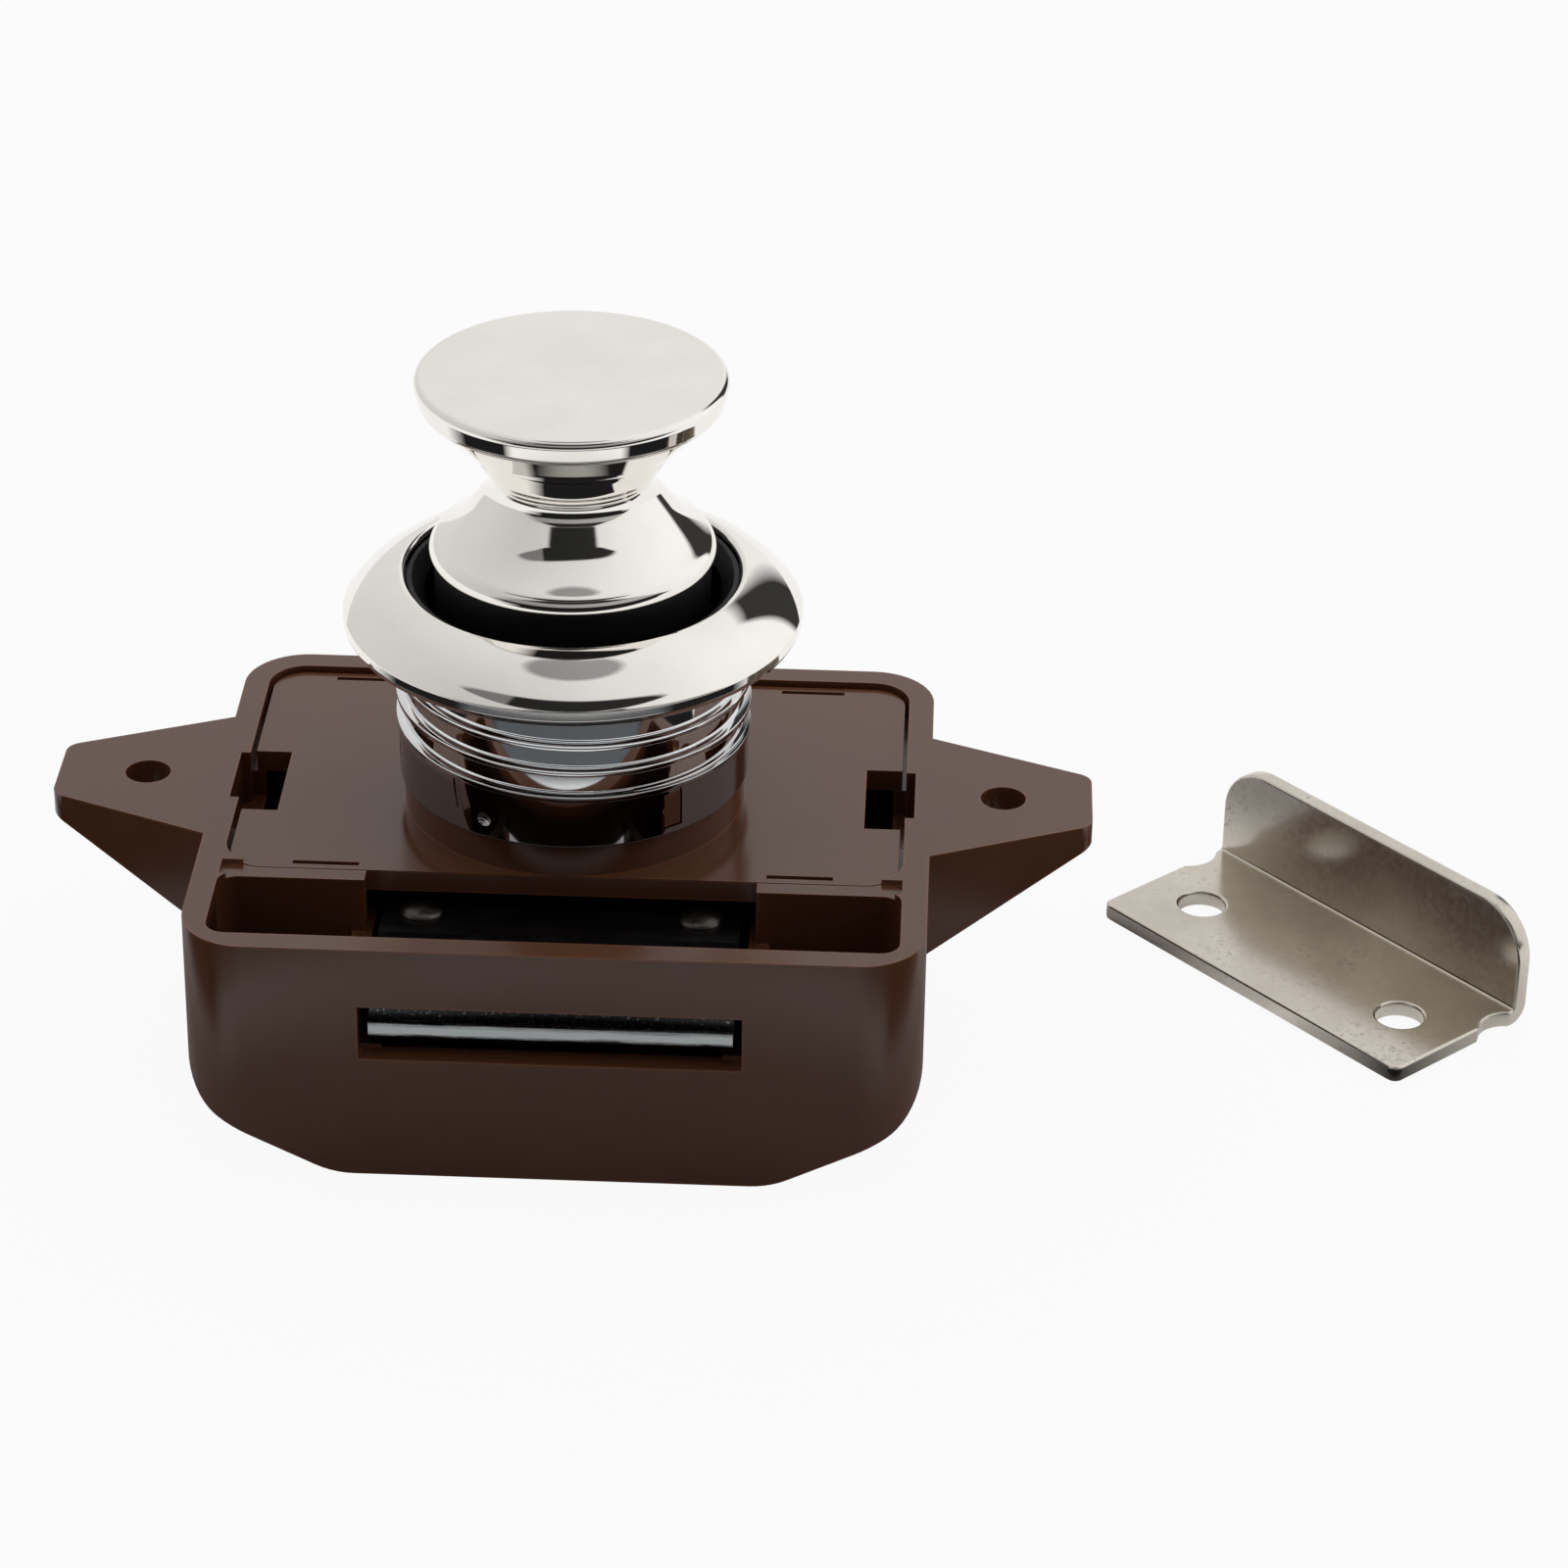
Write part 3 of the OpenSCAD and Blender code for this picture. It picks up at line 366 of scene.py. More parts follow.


# Bright chrome with a breath of cloudiness on it, its colour darkened towards its foot as painted shade
def makeChrome(name, look):
    material, tree, shader, where = newMaterial(name)
    link = tree.links.new
    marks = useGroup(tree, rubMarks, where, Cloud_scale=look["cloud"], Scratch_scale=look["grain"],
                     Stretch=look["stretch"])
    tone = mixColours(tree, mapRange(tree, marks.outputs["Cloud"], 0.3, 0.7, 0.0, 1.0),
                      look["dark"], look["light"])
    # painted shade: below a given height the colour turns darker
    low, high = look["footShadeZ"]
    footShadeMask = mapRange(tree, splitPlace(tree, where)["Z"], low * mm, high * mm, 1.0, 0.0)
    link(mixColours(tree, footShadeMask, tone, look["footShade"]), shader.inputs["Base Color"])
    link(mapRange(tree, marks.outputs["Scratch"], 0.35, 0.7, look["rough"][0], look["rough"][1]),
         shader.inputs["Roughness"])
    link(bumpFrom(tree, marks.outputs["Cloud"], look["bump"], 0.01), shader.inputs["Normal"])
    shader.inputs["Metallic"].default_value = 1.0
    return material


# Steel of the inner pieces; the carrier and rivets get a very dark colour as painted shade under the cover
def makePlate(name, look):
    material, tree, shader, where = newMaterial(name)
    link = tree.links.new
    marks = useGroup(tree, rubMarks, where, Cloud_scale=look["cloud"], Scratch_scale=look["grain"],
                     Stretch=look["stretch"])
    both = mathNode(tree, "MULTIPLY", marks.outputs["Cloud"], marks.outputs["Scratch"])
    tone = mixColours(tree, mapRange(tree, both, 0.12, 0.4, 0.0, 1.0), look["dark"], look["light"])
    link(tone, shader.inputs["Base Color"])
    link(mapRange(tree, marks.outputs["Scratch"], 0.3, 0.75, look["rough"][0], look["rough"][1]),
         shader.inputs["Roughness"])
    link(bumpFrom(tree, marks.outputs["Scratch"], look["bump"], 0.015), shader.inputs["Normal"])
    shader.inputs["Metallic"].default_value = 1.0
    return material


# Warm nickel, cloudy on the flats, specked, with a painted highlight along its edges
def makeNickel(name, look):
    material, tree, shader, where = newMaterial(name)
    link = tree.links.new
    marks = useGroup(tree, rubMarks, where, Cloud_scale=look["cloud"], Scratch_scale=look["grain"],
                     Stretch=(1, 1, 1))
    tone = mixColours(tree, mapRange(tree, marks.outputs["Cloud"], 0.3, 0.7, 0.0, 1.0),
                      look["dark"], look["light"])
    patch = mapRange(tree, marks.outputs["Cloud"], 0.48, 0.62, 0.0, 1.0)
    grains = mapRange(tree, marks.outputs["Scratch"], 0.54, 0.6, 0.0, look["speckShare"])
    spotted = mixColours(tree, mathNode(tree, "MULTIPLY", patch, grains), tone, look["speck"])
    edge = useGroup(tree, edgeMask)
    # painted highlight: the edges are lightened towards a bright colour
    edgeGlint = mathNode(tree, "MULTIPLY", edge.outputs["Edge"], look["edge"])
    link(mixColours(tree, edgeGlint, spotted, look["edgeHighlight"]), shader.inputs["Base Color"])
    link(mapRange(tree, marks.outputs["Scratch"], 0.3, 0.75, look["rough"][0], look["rough"][1]),
         shader.inputs["Roughness"])
    link(bumpFrom(tree, marks.outputs["Scratch"], look["bump"], 0.015), shader.inputs["Normal"])
    shader.inputs["Metallic"].default_value = 1.0
    return material


# Black plastic of the ring and plunger
def makeBlackPlastic(name, look):
    material, tree, shader, where = newMaterial(name)
    link = tree.links.new
    marks = useGroup(tree, rubMarks, where, Cloud_scale=look["cloud"], Scratch_scale=look["grain"],
                     Stretch=(1, 1, 1))
    link(mixColours(tree, marks.outputs["Cloud"], look["dark"], look["light"]), shader.inputs["Base Color"])
    link(mapRange(tree, marks.outputs["Scratch"], 0.3, 0.7, look["rough"][0], look["rough"][1]),
         shader.inputs["Roughness"])
    link(bumpFrom(tree, marks.outputs["Scratch"], look["bump"], 0.01), shader.inputs["Normal"])
    shader.inputs["Specular IOR Level"].default_value = look["gloss"]
    return material


# regions down in the trough that get painted shade
frontWell = {"half": 23.6, "soft": 0.05, "y": (-21.6, -15.4), "top": -0.3, "deep": -1.5, "bottom": -17.4}
coverWell = {"half": 23.6, "soft": 0.05, "y": (-17.0, -9.0), "top": -2.0, "deep": -4.2, "bottom": -17.4}
brownPlastic = makeBrownPlastic("brownPlastic", {
    "well": frontWell, "shade": (0.028, 0.012, 0.007),
    "dark": (0.125, 0.047, 0.021), "light": (0.145, 0.056, 0.026), "glint": (0.30, 0.095, 0.035),
    "edge": 0.6, "rough": (0.16, 0.24), "cloud": 90.0, "grain": 1400.0, "bump": 0.05})
coverPlastic = makeBrownPlastic("coverPlastic", {
    "well": coverWell, "shade": (0.05, 0.02, 0.011),
    "dark": (0.130, 0.049, 0.022), "light": (0.150, 0.058, 0.027), "glint": (0.30, 0.095, 0.035),
    "edge": 0.5, "rough": (0.14, 0.2), "cloud": 110.0, "grain": 1400.0, "bump": 0.04})
knobChrome = makeChrome("knobChrome", {
    "footShadeZ": (18.0, 19.4), "footShade": (0.8, 0.77, 0.73),
    "dark": (0.86, 0.83, 0.79), "light": (0.92, 0.885, 0.84), "rough": (0.015, 0.05),
    "cloud": 160.0, "grain": 700.0, "stretch": (1, 1, 1), "bump": 0.05})
rosetteChrome = makeChrome("rosetteChrome", {
    "footShadeZ": (12.0, 12.6), "footShade": (0.8, 0.77, 0.73),
    "dark": (0.86, 0.83, 0.79), "light": (0.92, 0.885, 0.84), "rough": (0.015, 0.05),
    "cloud": 140.0, "grain": 700.0, "stretch": (1, 1, 1), "bump": 0.05})
# painted shade darkens the smooth band at the foot of the sleeve
sleeveChrome = makeChrome("sleeveChrome", {
    "footShadeZ": (5.4, 6.6), "footShade": (0.34, 0.33, 0.33),
    "dark": (0.76, 0.77, 0.78), "light": (0.86, 0.86, 0.86), "rough": (0.02, 0.07),
    "cloud": 200.0, "grain": 900.0, "stretch": (1, 1, 1), "bump": 0.08})


# Zinc of the bolt, coloured dark as painted shade on its rear and on its nose, specked with dust, with a
# painted highlight on a strip of the nose
def makeBoltZinc(name, look):
    material, tree, shader, where = newMaterial(name)
    link = tree.links.new
    marks = useGroup(tree, rubMarks, where, Cloud_scale=look["cloud"], Scratch_scale=look["grain"],
                     Stretch=(0.06, 1, 1))
    specks = addNode(tree, "ShaderNodeTexNoise")
    specks.inputs["Scale"].default_value = look["speckScale"]
    specks.inputs["Detail"].default_value = 2.0
    link(where, specks.inputs["Vector"])
    spot = splitPlace(tree, where)
    wave = mathNode(tree, "SUBTRACT", marks.outputs["Scratch"], 0.5)
    height = mathNode(tree, "ADD", spot["Z"], mathNode(tree, "MULTIPLY", wave, look["highlightStripWave"] * mm))
    # painted highlight: a bright strip across the nose, its edges wavy with the scratches
    low, high = look["highlightStrip"]
    highlightStrip = mathNode(tree, "MULTIPLY", mapRange(tree, height, (low - 0.12) * mm, (low + 0.12) * mm, 0.0, 1.0),
                   mapRange(tree, height, (high - 0.2) * mm, (high + 0.2) * mm, 1.0, 0.0))
    noseFrom = look["noseFrom"]
    nose = mapRange(tree, spot["Y"], (noseFrom - 0.3) * mm, (noseFrom + 0.3) * mm, 1.0, 0.0)
    dust = mapRange(tree, specks.outputs["Fac"], 0.62, 0.72, 0.0, 0.8)
    # painted shade: the nose bevels are dark, with lighter specks of dust
    bevelTone = mixColours(tree, dust, look["noseShade"], look["speck"])
    noseTone = mixColours(tree, highlightStrip, bevelTone, look["stripHighlight"])
    link(mixColours(tree, nose, look["blank"], noseTone), shader.inputs["Base Color"])
    link(mapRange(tree, highlightStrip, 0.0, 1.0, *look["rough"]), shader.inputs["Roughness"])
    link(bumpFrom(tree, marks.outputs["Scratch"], look["bump"], 0.02), shader.inputs["Normal"])
    shader.inputs["Metallic"].default_value = 1.0
    return material


# the dark rear and nose colours are painted shade; the bright strip colour is a painted highlight
zincPlate = makeBoltZinc("zincPlate", {
    "blank": (0.13, 0.132, 0.135), "noseShade": (0.035, 0.036, 0.038), "speck": (0.34, 0.35, 0.36),
    "stripHighlight": (0.86, 0.9, 0.91), "highlightStrip": (-6.95, -6.2), "highlightStripWave": 0.9, "noseFrom": -20.6,
    "cloud": 900.0, "grain": 2600.0, "speckScale": 4200.0, "rough": (0.3, 0.55), "bump": 0.35})
# painted shade: the carrier down under the cover is coloured very dark
carrierSteel = makePlate("carrierSteel", {
    "dark": (0.035, 0.034, 0.033), "light": (0.085, 0.085, 0.088), "rough": (0.28, 0.42),
    "cloud": 260.0, "grain": 1100.0, "stretch": (0.2, 1, 1), "bump": 0.2})
springSteel = makePlate("springSteel", {
    "dark": (0.36, 0.37, 0.39), "light": (0.52, 0.53, 0.55), "rough": (0.2, 0.34),
    "cloud": 500.0, "grain": 1600.0, "stretch": (1, 1, 0.2), "bump": 0.1})
# painted shade: the rivets under the cover are coloured very dark
rivetSteel = makePlate("rivetSteel", {
    "dark": (0.05, 0.046, 0.04), "light": (0.15, 0.14, 0.12), "rough": (0.24, 0.4),
    "cloud": 700.0, "grain": 1600.0, "stretch": (1, 1, 1), "bump": 0.15})
plainSteel = makePlate("plainSteel", {
    "dark": (0.42, 0.42, 0.43), "light": (0.6, 0.6, 0.61), "rough": (0.22, 0.36),
    "cloud": 500.0, "grain": 1600.0, "stretch": (1, 1, 1), "bump": 0.15})
nickelPlate = makeNickel("nickelPlate", {
    "dark": (0.55, 0.5, 0.43), "light": (0.71, 0.66, 0.58), "rough": (0.14, 0.26), "cloud": 110.0,
    "grain": 1900.0, "speck": (0.25, 0.225, 0.19), "speckShare": 0.7, "edgeHighlight": (0.95, 0.92, 0.85),
    "edge": 0.8, "bump": 0.06})
blackPlastic = makeBlackPlastic("blackPlastic", {
    "dark": (0.004, 0.004, 0.005), "light": (0.008, 0.008, 0.009), "rough": (0.4, 0.55),
    "cloud": 200.0, "grain": 1500.0, "bump": 0.08, "gloss": 0.25})
print("materials made")


# Geometry trees, their inputs found again by the sockets' identifiers
def newGeometryTree(name, inputs):
    tree = bpy.data.node_groups.new(name, "GeometryNodeTree")
    sockets = {}
    for socketName, kind, value in inputs:
        socket = tree.interface.new_socket(name=socketName, in_out="INPUT", socket_type="NodeSocket" + kind)
        socket.default_value = value
        sockets[socketName] = socket.identifier
    finish = tree.interface.new_socket(name="Finish", in_out="INPUT", socket_type="NodeSocketMaterial")
    sockets["Finish"] = finish.identifier
    tree.interface.new_socket(name="Geometry", in_out="OUTPUT", socket_type="NodeSocketGeometry")
    return tree, sockets, tree.nodes.new("NodeGroupInput")


def endGeometryTree(tree, given, geometry):
    link = tree.links.new
    smooth = tree.nodes.new("GeometryNodeSetShadeSmooth")
    link(geometry, smooth.inputs["Geometry"])
    real = tree.nodes.new("GeometryNodeRealizeInstances")
    link(smooth.outputs["Geometry"], real.inputs["Geometry"])
    paint = tree.nodes.new("GeometryNodeSetMaterial")
    link(real.outputs["Geometry"], paint.inputs["Geometry"])
    link(given.outputs["Finish"], paint.inputs["Material"])
    out = tree.nodes.new("NodeGroupOutput")
    link(paint.outputs["Geometry"], out.inputs["Geometry"])


def growFrom(tree, sockets, name, values):
    piece = addObject(name, bpy.data.meshes.new(name))
    grow = piece.modifiers.new("grow", "NODES")
    grow.node_group = tree
    for key, value in values.items():
        grow[sockets[key]] = value
    bpy.context.view_layer.update()
    settle(piece)
    return piece


# A helix swept into a tube, for springs and for the thread
def makeCoilTree():
    tree, sockets, given = newGeometryTree("coilTree", [
        ("Turns", "Float", 5.0), ("Coil radius", "Float", 0.01), ("Length", "Float", 0.02),
        ("Wire radial", "Float", 0.001), ("Wire axial", "Float", 0.001), ("Steps a turn", "Int", 48),
        ("Sides", "Int", 14), ("Profile turn", "Float", 0.0), ("Rounding", "Float", 0.0),
        ("Place", "Vector", (0, 0, 0)), ("Turn", "Vector", (0, 0, 0))])
    link = tree.links.new
    spiral = tree.nodes.new("GeometryNodeCurveSpiral")
    link(given.outputs["Steps a turn"], spiral.inputs["Resolution"])
    link(given.outputs["Turns"], spiral.inputs["Rotations"])
    link(given.outputs["Coil radius"], spiral.inputs["Start Radius"])
    link(given.outputs["Coil radius"], spiral.inputs["End Radius"])
    link(given.outputs["Length"], spiral.inputs["Height"])
    upright = tree.nodes.new("GeometryNodeSetCurveNormal")
    upright.mode = "Z_UP"
    circle = tree.nodes.new("GeometryNodeCurvePrimitiveCircle")
    circle.inputs["Radius"].default_value = 1.0
    link(given.outputs["Sides"], circle.inputs["Resolution"])
    spin = tree.nodes.new("ShaderNodeCombineXYZ")
    link(given.outputs["Profile turn"], spin.inputs["Z"])
    spun = tree.nodes.new("GeometryNodeTransform")
    link(circle.outputs["Curve"], spun.inputs["Geometry"])
    link(spin.outputs[0], spun.inputs["Rotation"])
    size = tree.nodes.new("ShaderNodeCombineXYZ")
    link(given.outputs["Wire radial"], size.inputs["X"])
    link(given.outputs["Wire axial"], size.inputs["Y"])
    size.inputs["Z"].default_value = 1.0
    shape = tree.nodes.new("GeometryNodeTransform")
    link(spun.outputs["Geometry"], shape.inputs["Geometry"])
    link(size.outputs[0], shape.inputs["Scale"])
    soft = tree.nodes.new("GeometryNodeFilletCurve")
    soft.mode = "POLY"
    soft.inputs["Count"].default_value = 3
    link(shape.outputs["Geometry"], soft.inputs["Curve"])
    link(given.outputs["Rounding"], soft.inputs["Radius"])
    sweep = tree.nodes.new("GeometryNodeCurveToMesh")
    sweep.inputs["Fill Caps"].default_value = True
    link(spiral.outputs["Curve"], upright.inputs["Curve"])
    link(upright.outputs["Curve"], sweep.inputs["Curve"])
    link(soft.outputs["Curve"], sweep.inputs["Profile Curve"])
    place = tree.nodes.new("GeometryNodeTransform")
    link(sweep.outputs["Mesh"], place.inputs["Geometry"])
    link(given.outputs["Place"], place.inputs["Translation"])
    link(given.outputs["Turn"], place.inputs["Rotation"])
    endGeometryTree(tree, given, place.outputs["Geometry"])
    return tree, sockets


coilTree, coilSockets = makeCoilTree()


def coil(name, values):
    return growFrom(coilTree, coilSockets, name, values)


# The case and its cover come from the CAD with moulded edges
caseLook = {"edge": 0.28, "coverEdge": 0.18}
lockCase = softCopy("case", "lockCase", caseLook["edge"], 3)
dress(lockCase, "case", "brown_plastic", brownPlastic, "case")
coverLid = softCopy("cover_plate", "coverLid", caseLook["coverEdge"], 2)
dress(coverLid, "case", "cover_plastic", coverPlastic, "cover_plate")
print("case and cover made")

# Threaded sleeve
sleeve = {"low": 1.95, "top": 15.6, "bore": 11.2, "valley": 12.0, "band": 12.3, "bandTop": 6.06,
          "firstRidge": 4.9, "pitch": 2.0, "turns": 5.1, "ridgeOut": 0.46, "ridgeHalf": 0.42,
          "ridgeSoft": 0.07,
          "windowTurn": -52, "windowLow": 2.5, "windowHigh": 5.2, "windowHalf": 0.75,
          "windowIn": 11.0, "windowOut": 13.0, "around": 3, "sunk": 0.05, "threadTurn": 90,
          "dimpleTurn": -116, "dimpleZ": 3.4, "dimpleBall": 0.8, "dimpleDepth": 0.22}
hexFlat = math.cos(math.radians(30))  # half the width across flats of the hexagon swept as thread
tube = lathe("sleeveTube", filletPath([
    (sleeve["bore"], sleeve["low"], 0.1), (sleeve["band"], sleeve["low"], 0.15),
    (sleeve["band"], sleeve["bandTop"], 0.12), (sleeve["valley"], sleeve["bandTop"] + 0.1, 0.1),
    (sleeve["valley"], sleeve["top"], 0.25), (sleeve["bore"], sleeve["top"], 0.2)], 4))
cuts = bmesh.new()
for k in range(sleeve["around"]):
    step = 360 / sleeve["around"] * k
    boxInto(cuts, (sleeve["windowIn"], -sleeve["windowHalf"], sleeve["windowLow"]),
            (sleeve["windowOut"], sleeve["windowHalf"], sleeve["windowHigh"]), sleeve["windowTurn"] + step)
    turn = math.radians(sleeve["dimpleTurn"] + step)
    out = sleeve["band"] + sleeve["dimpleBall"] - sleeve["dimpleDepth"]
    ballInto(cuts, sleeve["dimpleBall"], (out * math.cos(turn), out * math.sin(turn), sleeve["dimpleZ"]))
cutAway(tube, cuts)
dress(tube, "case", "sleeve_chrome", sleeveChrome, "threaded_sleeve")
thread = coil("sleeveThread", {
    "Turns": sleeve["turns"], "Coil radius": (sleeve["valley"] - sleeve["sunk"]) * mm,
    "Length": sleeve["turns"] * sleeve["pitch"] * mm,
    "Wire radial": (sleeve["ridgeOut"] + sleeve["sunk"]) / hexFlat * mm,
    "Wire axial": sleeve["ridgeHalf"] * mm, "Steps a turn": 144, "Sides": 6,
    "Profile turn": math.radians(30), "Rounding": sleeve["ridgeSoft"] * mm,
    "Place": (0, 0, sleeve["firstRidge"] * mm), "Turn": (0, 0, math.radians(sleeve["threadTurn"])),
    "Finish": sleeveChrome})
dress(thread, "case", "sleeve_chrome", sleeveChrome)
print("sleeve made")

# Rosette that screws down on the door
rosette = {"foot": 13.42, "radius": 16.0, "edge": 14.52, "lipTop": 17.43, "lip": 11.68, "lipLow": 16.5,
           "bore": 12.65, "domeRadius": 8.0, "notchTurn": -150, "notchHalf": 0.7, "notches": 3,
           "notchIn": 14.6, "notchOut": 17.0, "notchLow": 12.0, "notchTop": 13.92}


def domePath(part, steps=36):
    start = Vector((part["radius"], part["edge"]))
    end = Vector((part["lip"] + 0.35, part["lipTop"]))
    middle = (start + end) / 2
    across = end - start
    side = Vector((-across.y, across.x)).normalized()
    centre = middle + side * math.sqrt(part["domeRadius"] ** 2 - (across.length / 2) ** 2)
    first = start - centre
    sweep = first.angle_signed(end - centre)
    return [centre + Matrix.Rotation(-sweep * k / steps, 2) @ first for k in range(steps + 1)]


lipCorner = filletPath([
    (rosette["lip"] + 0.7, rosette["lipTop"], 0), (rosette["lip"], rosette["lipTop"], 0.34),
    (rosette["lip"], rosette["lipLow"], 0), (rosette["bore"], rosette["lipLow"], 0)], 6)[1:]
footCorner = filletPath([
    (rosette["bore"], rosette["foot"], 0), (rosette["radius"] - 0.3, rosette["foot"], 0.2),
    (rosette["radius"], rosette["foot"] + 0.5, 0.3), (rosette["radius"], rosette["edge"], 0)], 6)[:-1]
dome = lathe("rosetteDome", [*footCorner, *domePath(rosette), *lipCorner], 256, 40)
cuts = bmesh.new()
for k in range(rosette["notches"]):
    boxInto(cuts, (rosette["notchIn"], -rosette["notchHalf"], rosette["notchLow"]),
            (rosette["notchOut"], rosette["notchHalf"], rosette["notchTop"]),
            rosette["notchTurn"] + 360 / rosette["notches"] * k)
cutAway(dome, cuts, 40)
dress(dome, "rosette", "rosette_chrome", rosetteChrome, "rosette_flange")
print("rosette made")

# Black ring under the lip
ring = {"low": 12.7, "top": 16.93, "bore": 10.3, "outer": 11.15, "neck": 11.58, "flange": 12.3,
        "flangeLow": 15.7, "flangeTop": 16.4, "flare": 11.2, "flareHeight": 1.1}
liner = lathe("linerRing", filletPath([
    (ring["bore"], ring["low"], 0.15), (ring["outer"], ring["low"], 0.15),
    (ring["outer"], ring["flangeLow"], 0), (ring["flange"], ring["flangeLow"], 0.1),
    (ring["flange"], ring["flangeTop"], 0.1), (ring["neck"], ring["flangeTop"], 0),
    (ring["neck"], ring["top"], 0.12), (ring["flare"], ring["top"], 0.12),
    (ring["bore"], ring["top"] - ring["flareHeight"], 0.3)], 4))
dress(liner, "liner", "black_plastic", blackPlastic, "liner_ring")

# Mushroom knob
knob = {"base": 18.73, "top": 32.1, "skirt": 9.95, "skirtHigh": 0.89, "flareIn": 2.02, "flareHigh": 2.3,
        "neckIn": 4.6, "neckHigh": 5.72, "head": 10.88, "hollowIn": 3.28, "hollowHigh": 8.77,
        "rimIn": 0.38, "rimHigh": 1.75, "lipSoft": 0.15, "skirtSoft": 1.3, "flareSoft": 10.0, "neckSoft": 1.6,
        "hollowSoft": 6.0, "rimSoft": 0.9, "edgeSoft": 0.5}


def knobPath(part):
    low, top, skirt, head = part["base"], part["top"], part["skirt"], part["head"]
    return filletPath([
        (0, low, 0), (skirt, low, part["lipSoft"]), (skirt, low + part["skirtHigh"], part["skirtSoft"]),
        (skirt - part["flareIn"], low + part["flareHigh"], part["flareSoft"]),
        (skirt - part["neckIn"], low + part["neckHigh"], part["neckSoft"]),
        (head - part["hollowIn"], low + part["hollowHigh"], part["hollowSoft"]),
        (head - part["rimIn"], top - part["rimHigh"], part["rimSoft"]),
        (head, top, part["edgeSoft"]), (0, top, 0)], 12)


cap = lathe("knobCap", knobPath(knob), 256, 40)
dress(cap, "knob", "knob_chrome", knobChrome, "knob")
print("knob made")

# Bolt, rivets and springs
boltEdge = 0.12
bolt = softCopy("bolt", "boltPlate", boltEdge, 2)
dress(bolt, "bolt", "zinc_steel", zincPlate, "bolt")
popSpring = {"turns": 9.0, "radius": 5.1, "wire": 0.45, "length": 31.0, "low": -16.03, "seat": -16.48,
             "keep": 0.64}
returnCoil = coil("returnCoil", {
    "Turns": popSpring["turns"], "Coil radius": popSpring["radius"] * mm, "Length": popSpring["length"] * mm,
    "Wire radial": popSpring["wire"] * mm, "Wire axial": popSpring["wire"] * mm, "Steps a turn": 40,
    "Place": (0, 0, popSpring["low"] * mm), "Finish": springSteel})
dress(returnCoil, "case", "spring_steel", springSteel, "return_spring")
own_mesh(returnCoil)
slamSpring = {"radius": 1.0, "wire": 0.2, "turns": 8.0, "x": 10.115, "z": -6.6, "front": -7.72, "back": 0.9,
              "seat": 1.096, "keep": 0.42}
for side, name, node in ((-1, "slamCoilLeft", "bolt_spring_left"), (1, "slamCoilRight", "bolt_spring_right")):
    sideX = side * slamSpring["x"]
    spring = coil(name, {
        "Turns": slamSpring["turns"], "Coil radius": slamSpring["radius"] * mm,
        "Length": (slamSpring["back"] - slamSpring["front"]) * mm, "Wire radial": slamSpring["wire"] * mm,
        "Wire axial": slamSpring["wire"] * mm, "Steps a turn": 28, "Sides": 10,
        "Place": (sideX * mm, slamSpring["front"] * mm, slamSpring["z"] * mm),
        "Turn": (math.radians(-90), 0, 0), "Finish": springSteel})
    dress(spring, "carrier", "spring_steel", springSteel, node)
    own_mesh(spring)


# A pair of domed rivets, set out by their spacing
def makeRivetTree():
    tree, sockets, given = newGeometryTree("rivetTree", [
        ("Spacing", "Float", 0.02), ("Shank radius", "Float", 0.001), ("Shank length", "Float", 0.005),
        ("Head radius", "Float", 0.002), ("Head height", "Float", 0.001), ("Tail height", "Float", 0.001),
        ("Place", "Vector", (0, 0, 0))])
    link = tree.links.new

    def tripled(x, y, z):
        node = tree.nodes.new("ShaderNodeCombineXYZ")
        for key, value in (("X", x), ("Y", y), ("Z", z)):
            if value is not None:
                link(value, node.inputs[key])
        return node.outputs[0]

    joined = tree.nodes.new("GeometryNodeJoinGeometry")
    shank = tree.nodes.new("GeometryNodeMeshCylinder")
    shank.inputs["Vertices"].default_value = 32
    link(given.outputs["Shank radius"], shank.inputs["Radius"])
    link(given.outputs["Shank length"], shank.inputs["Depth"])
    half = mathNode(tree, "MULTIPLY", given.outputs["Shank length"], 0.5)
    raised = tree.nodes.new("GeometryNodeTransform")
    link(shank.outputs["Mesh"], raised.inputs["Geometry"])
    link(tripled(None, None, half), raised.inputs["Translation"])
    link(raised.outputs["Geometry"], joined.inputs["Geometry"])
    for height, foot in ((given.outputs["Head height"], given.outputs["Shank length"]),
                         (given.outputs["Tail height"], None)):
        ball = tree.nodes.new("GeometryNodeMeshUVSphere")
        ball.inputs["Segments"].default_value = 40
        ball.inputs["Rings"].default_value = 20
        ball.inputs["Radius"].default_value = 1.0
        domed = tree.nodes.new("GeometryNodeTransform")
        link(ball.outputs["Mesh"], domed.inputs["Geometry"])
        across = given.outputs["Head radius"]
        link(tripled(across, across, height), domed.inputs["Scale"])
        if foot is not None:
            link(tripled(None, None, foot), domed.inputs["Translation"])
        link(domed.outputs["Geometry"], joined.inputs["Geometry"])
    row = tree.nodes.new("GeometryNodeMeshLine")
    row.inputs["Count"].default_value = 2
    link(given.outputs["Place"], row.inputs["Start Location"])
    link(tripled(given.outputs["Spacing"], None, None), row.inputs["Offset"])
    pair = tree.nodes.new("GeometryNodeInstanceOnPoints")
    link(row.outputs["Mesh"], pair.inputs["Points"])
    link(joined.outputs["Geometry"], pair.inputs["Instance"])
    endGeometryTree(tree, given, pair.outputs["Instances"])
    return tree, sockets


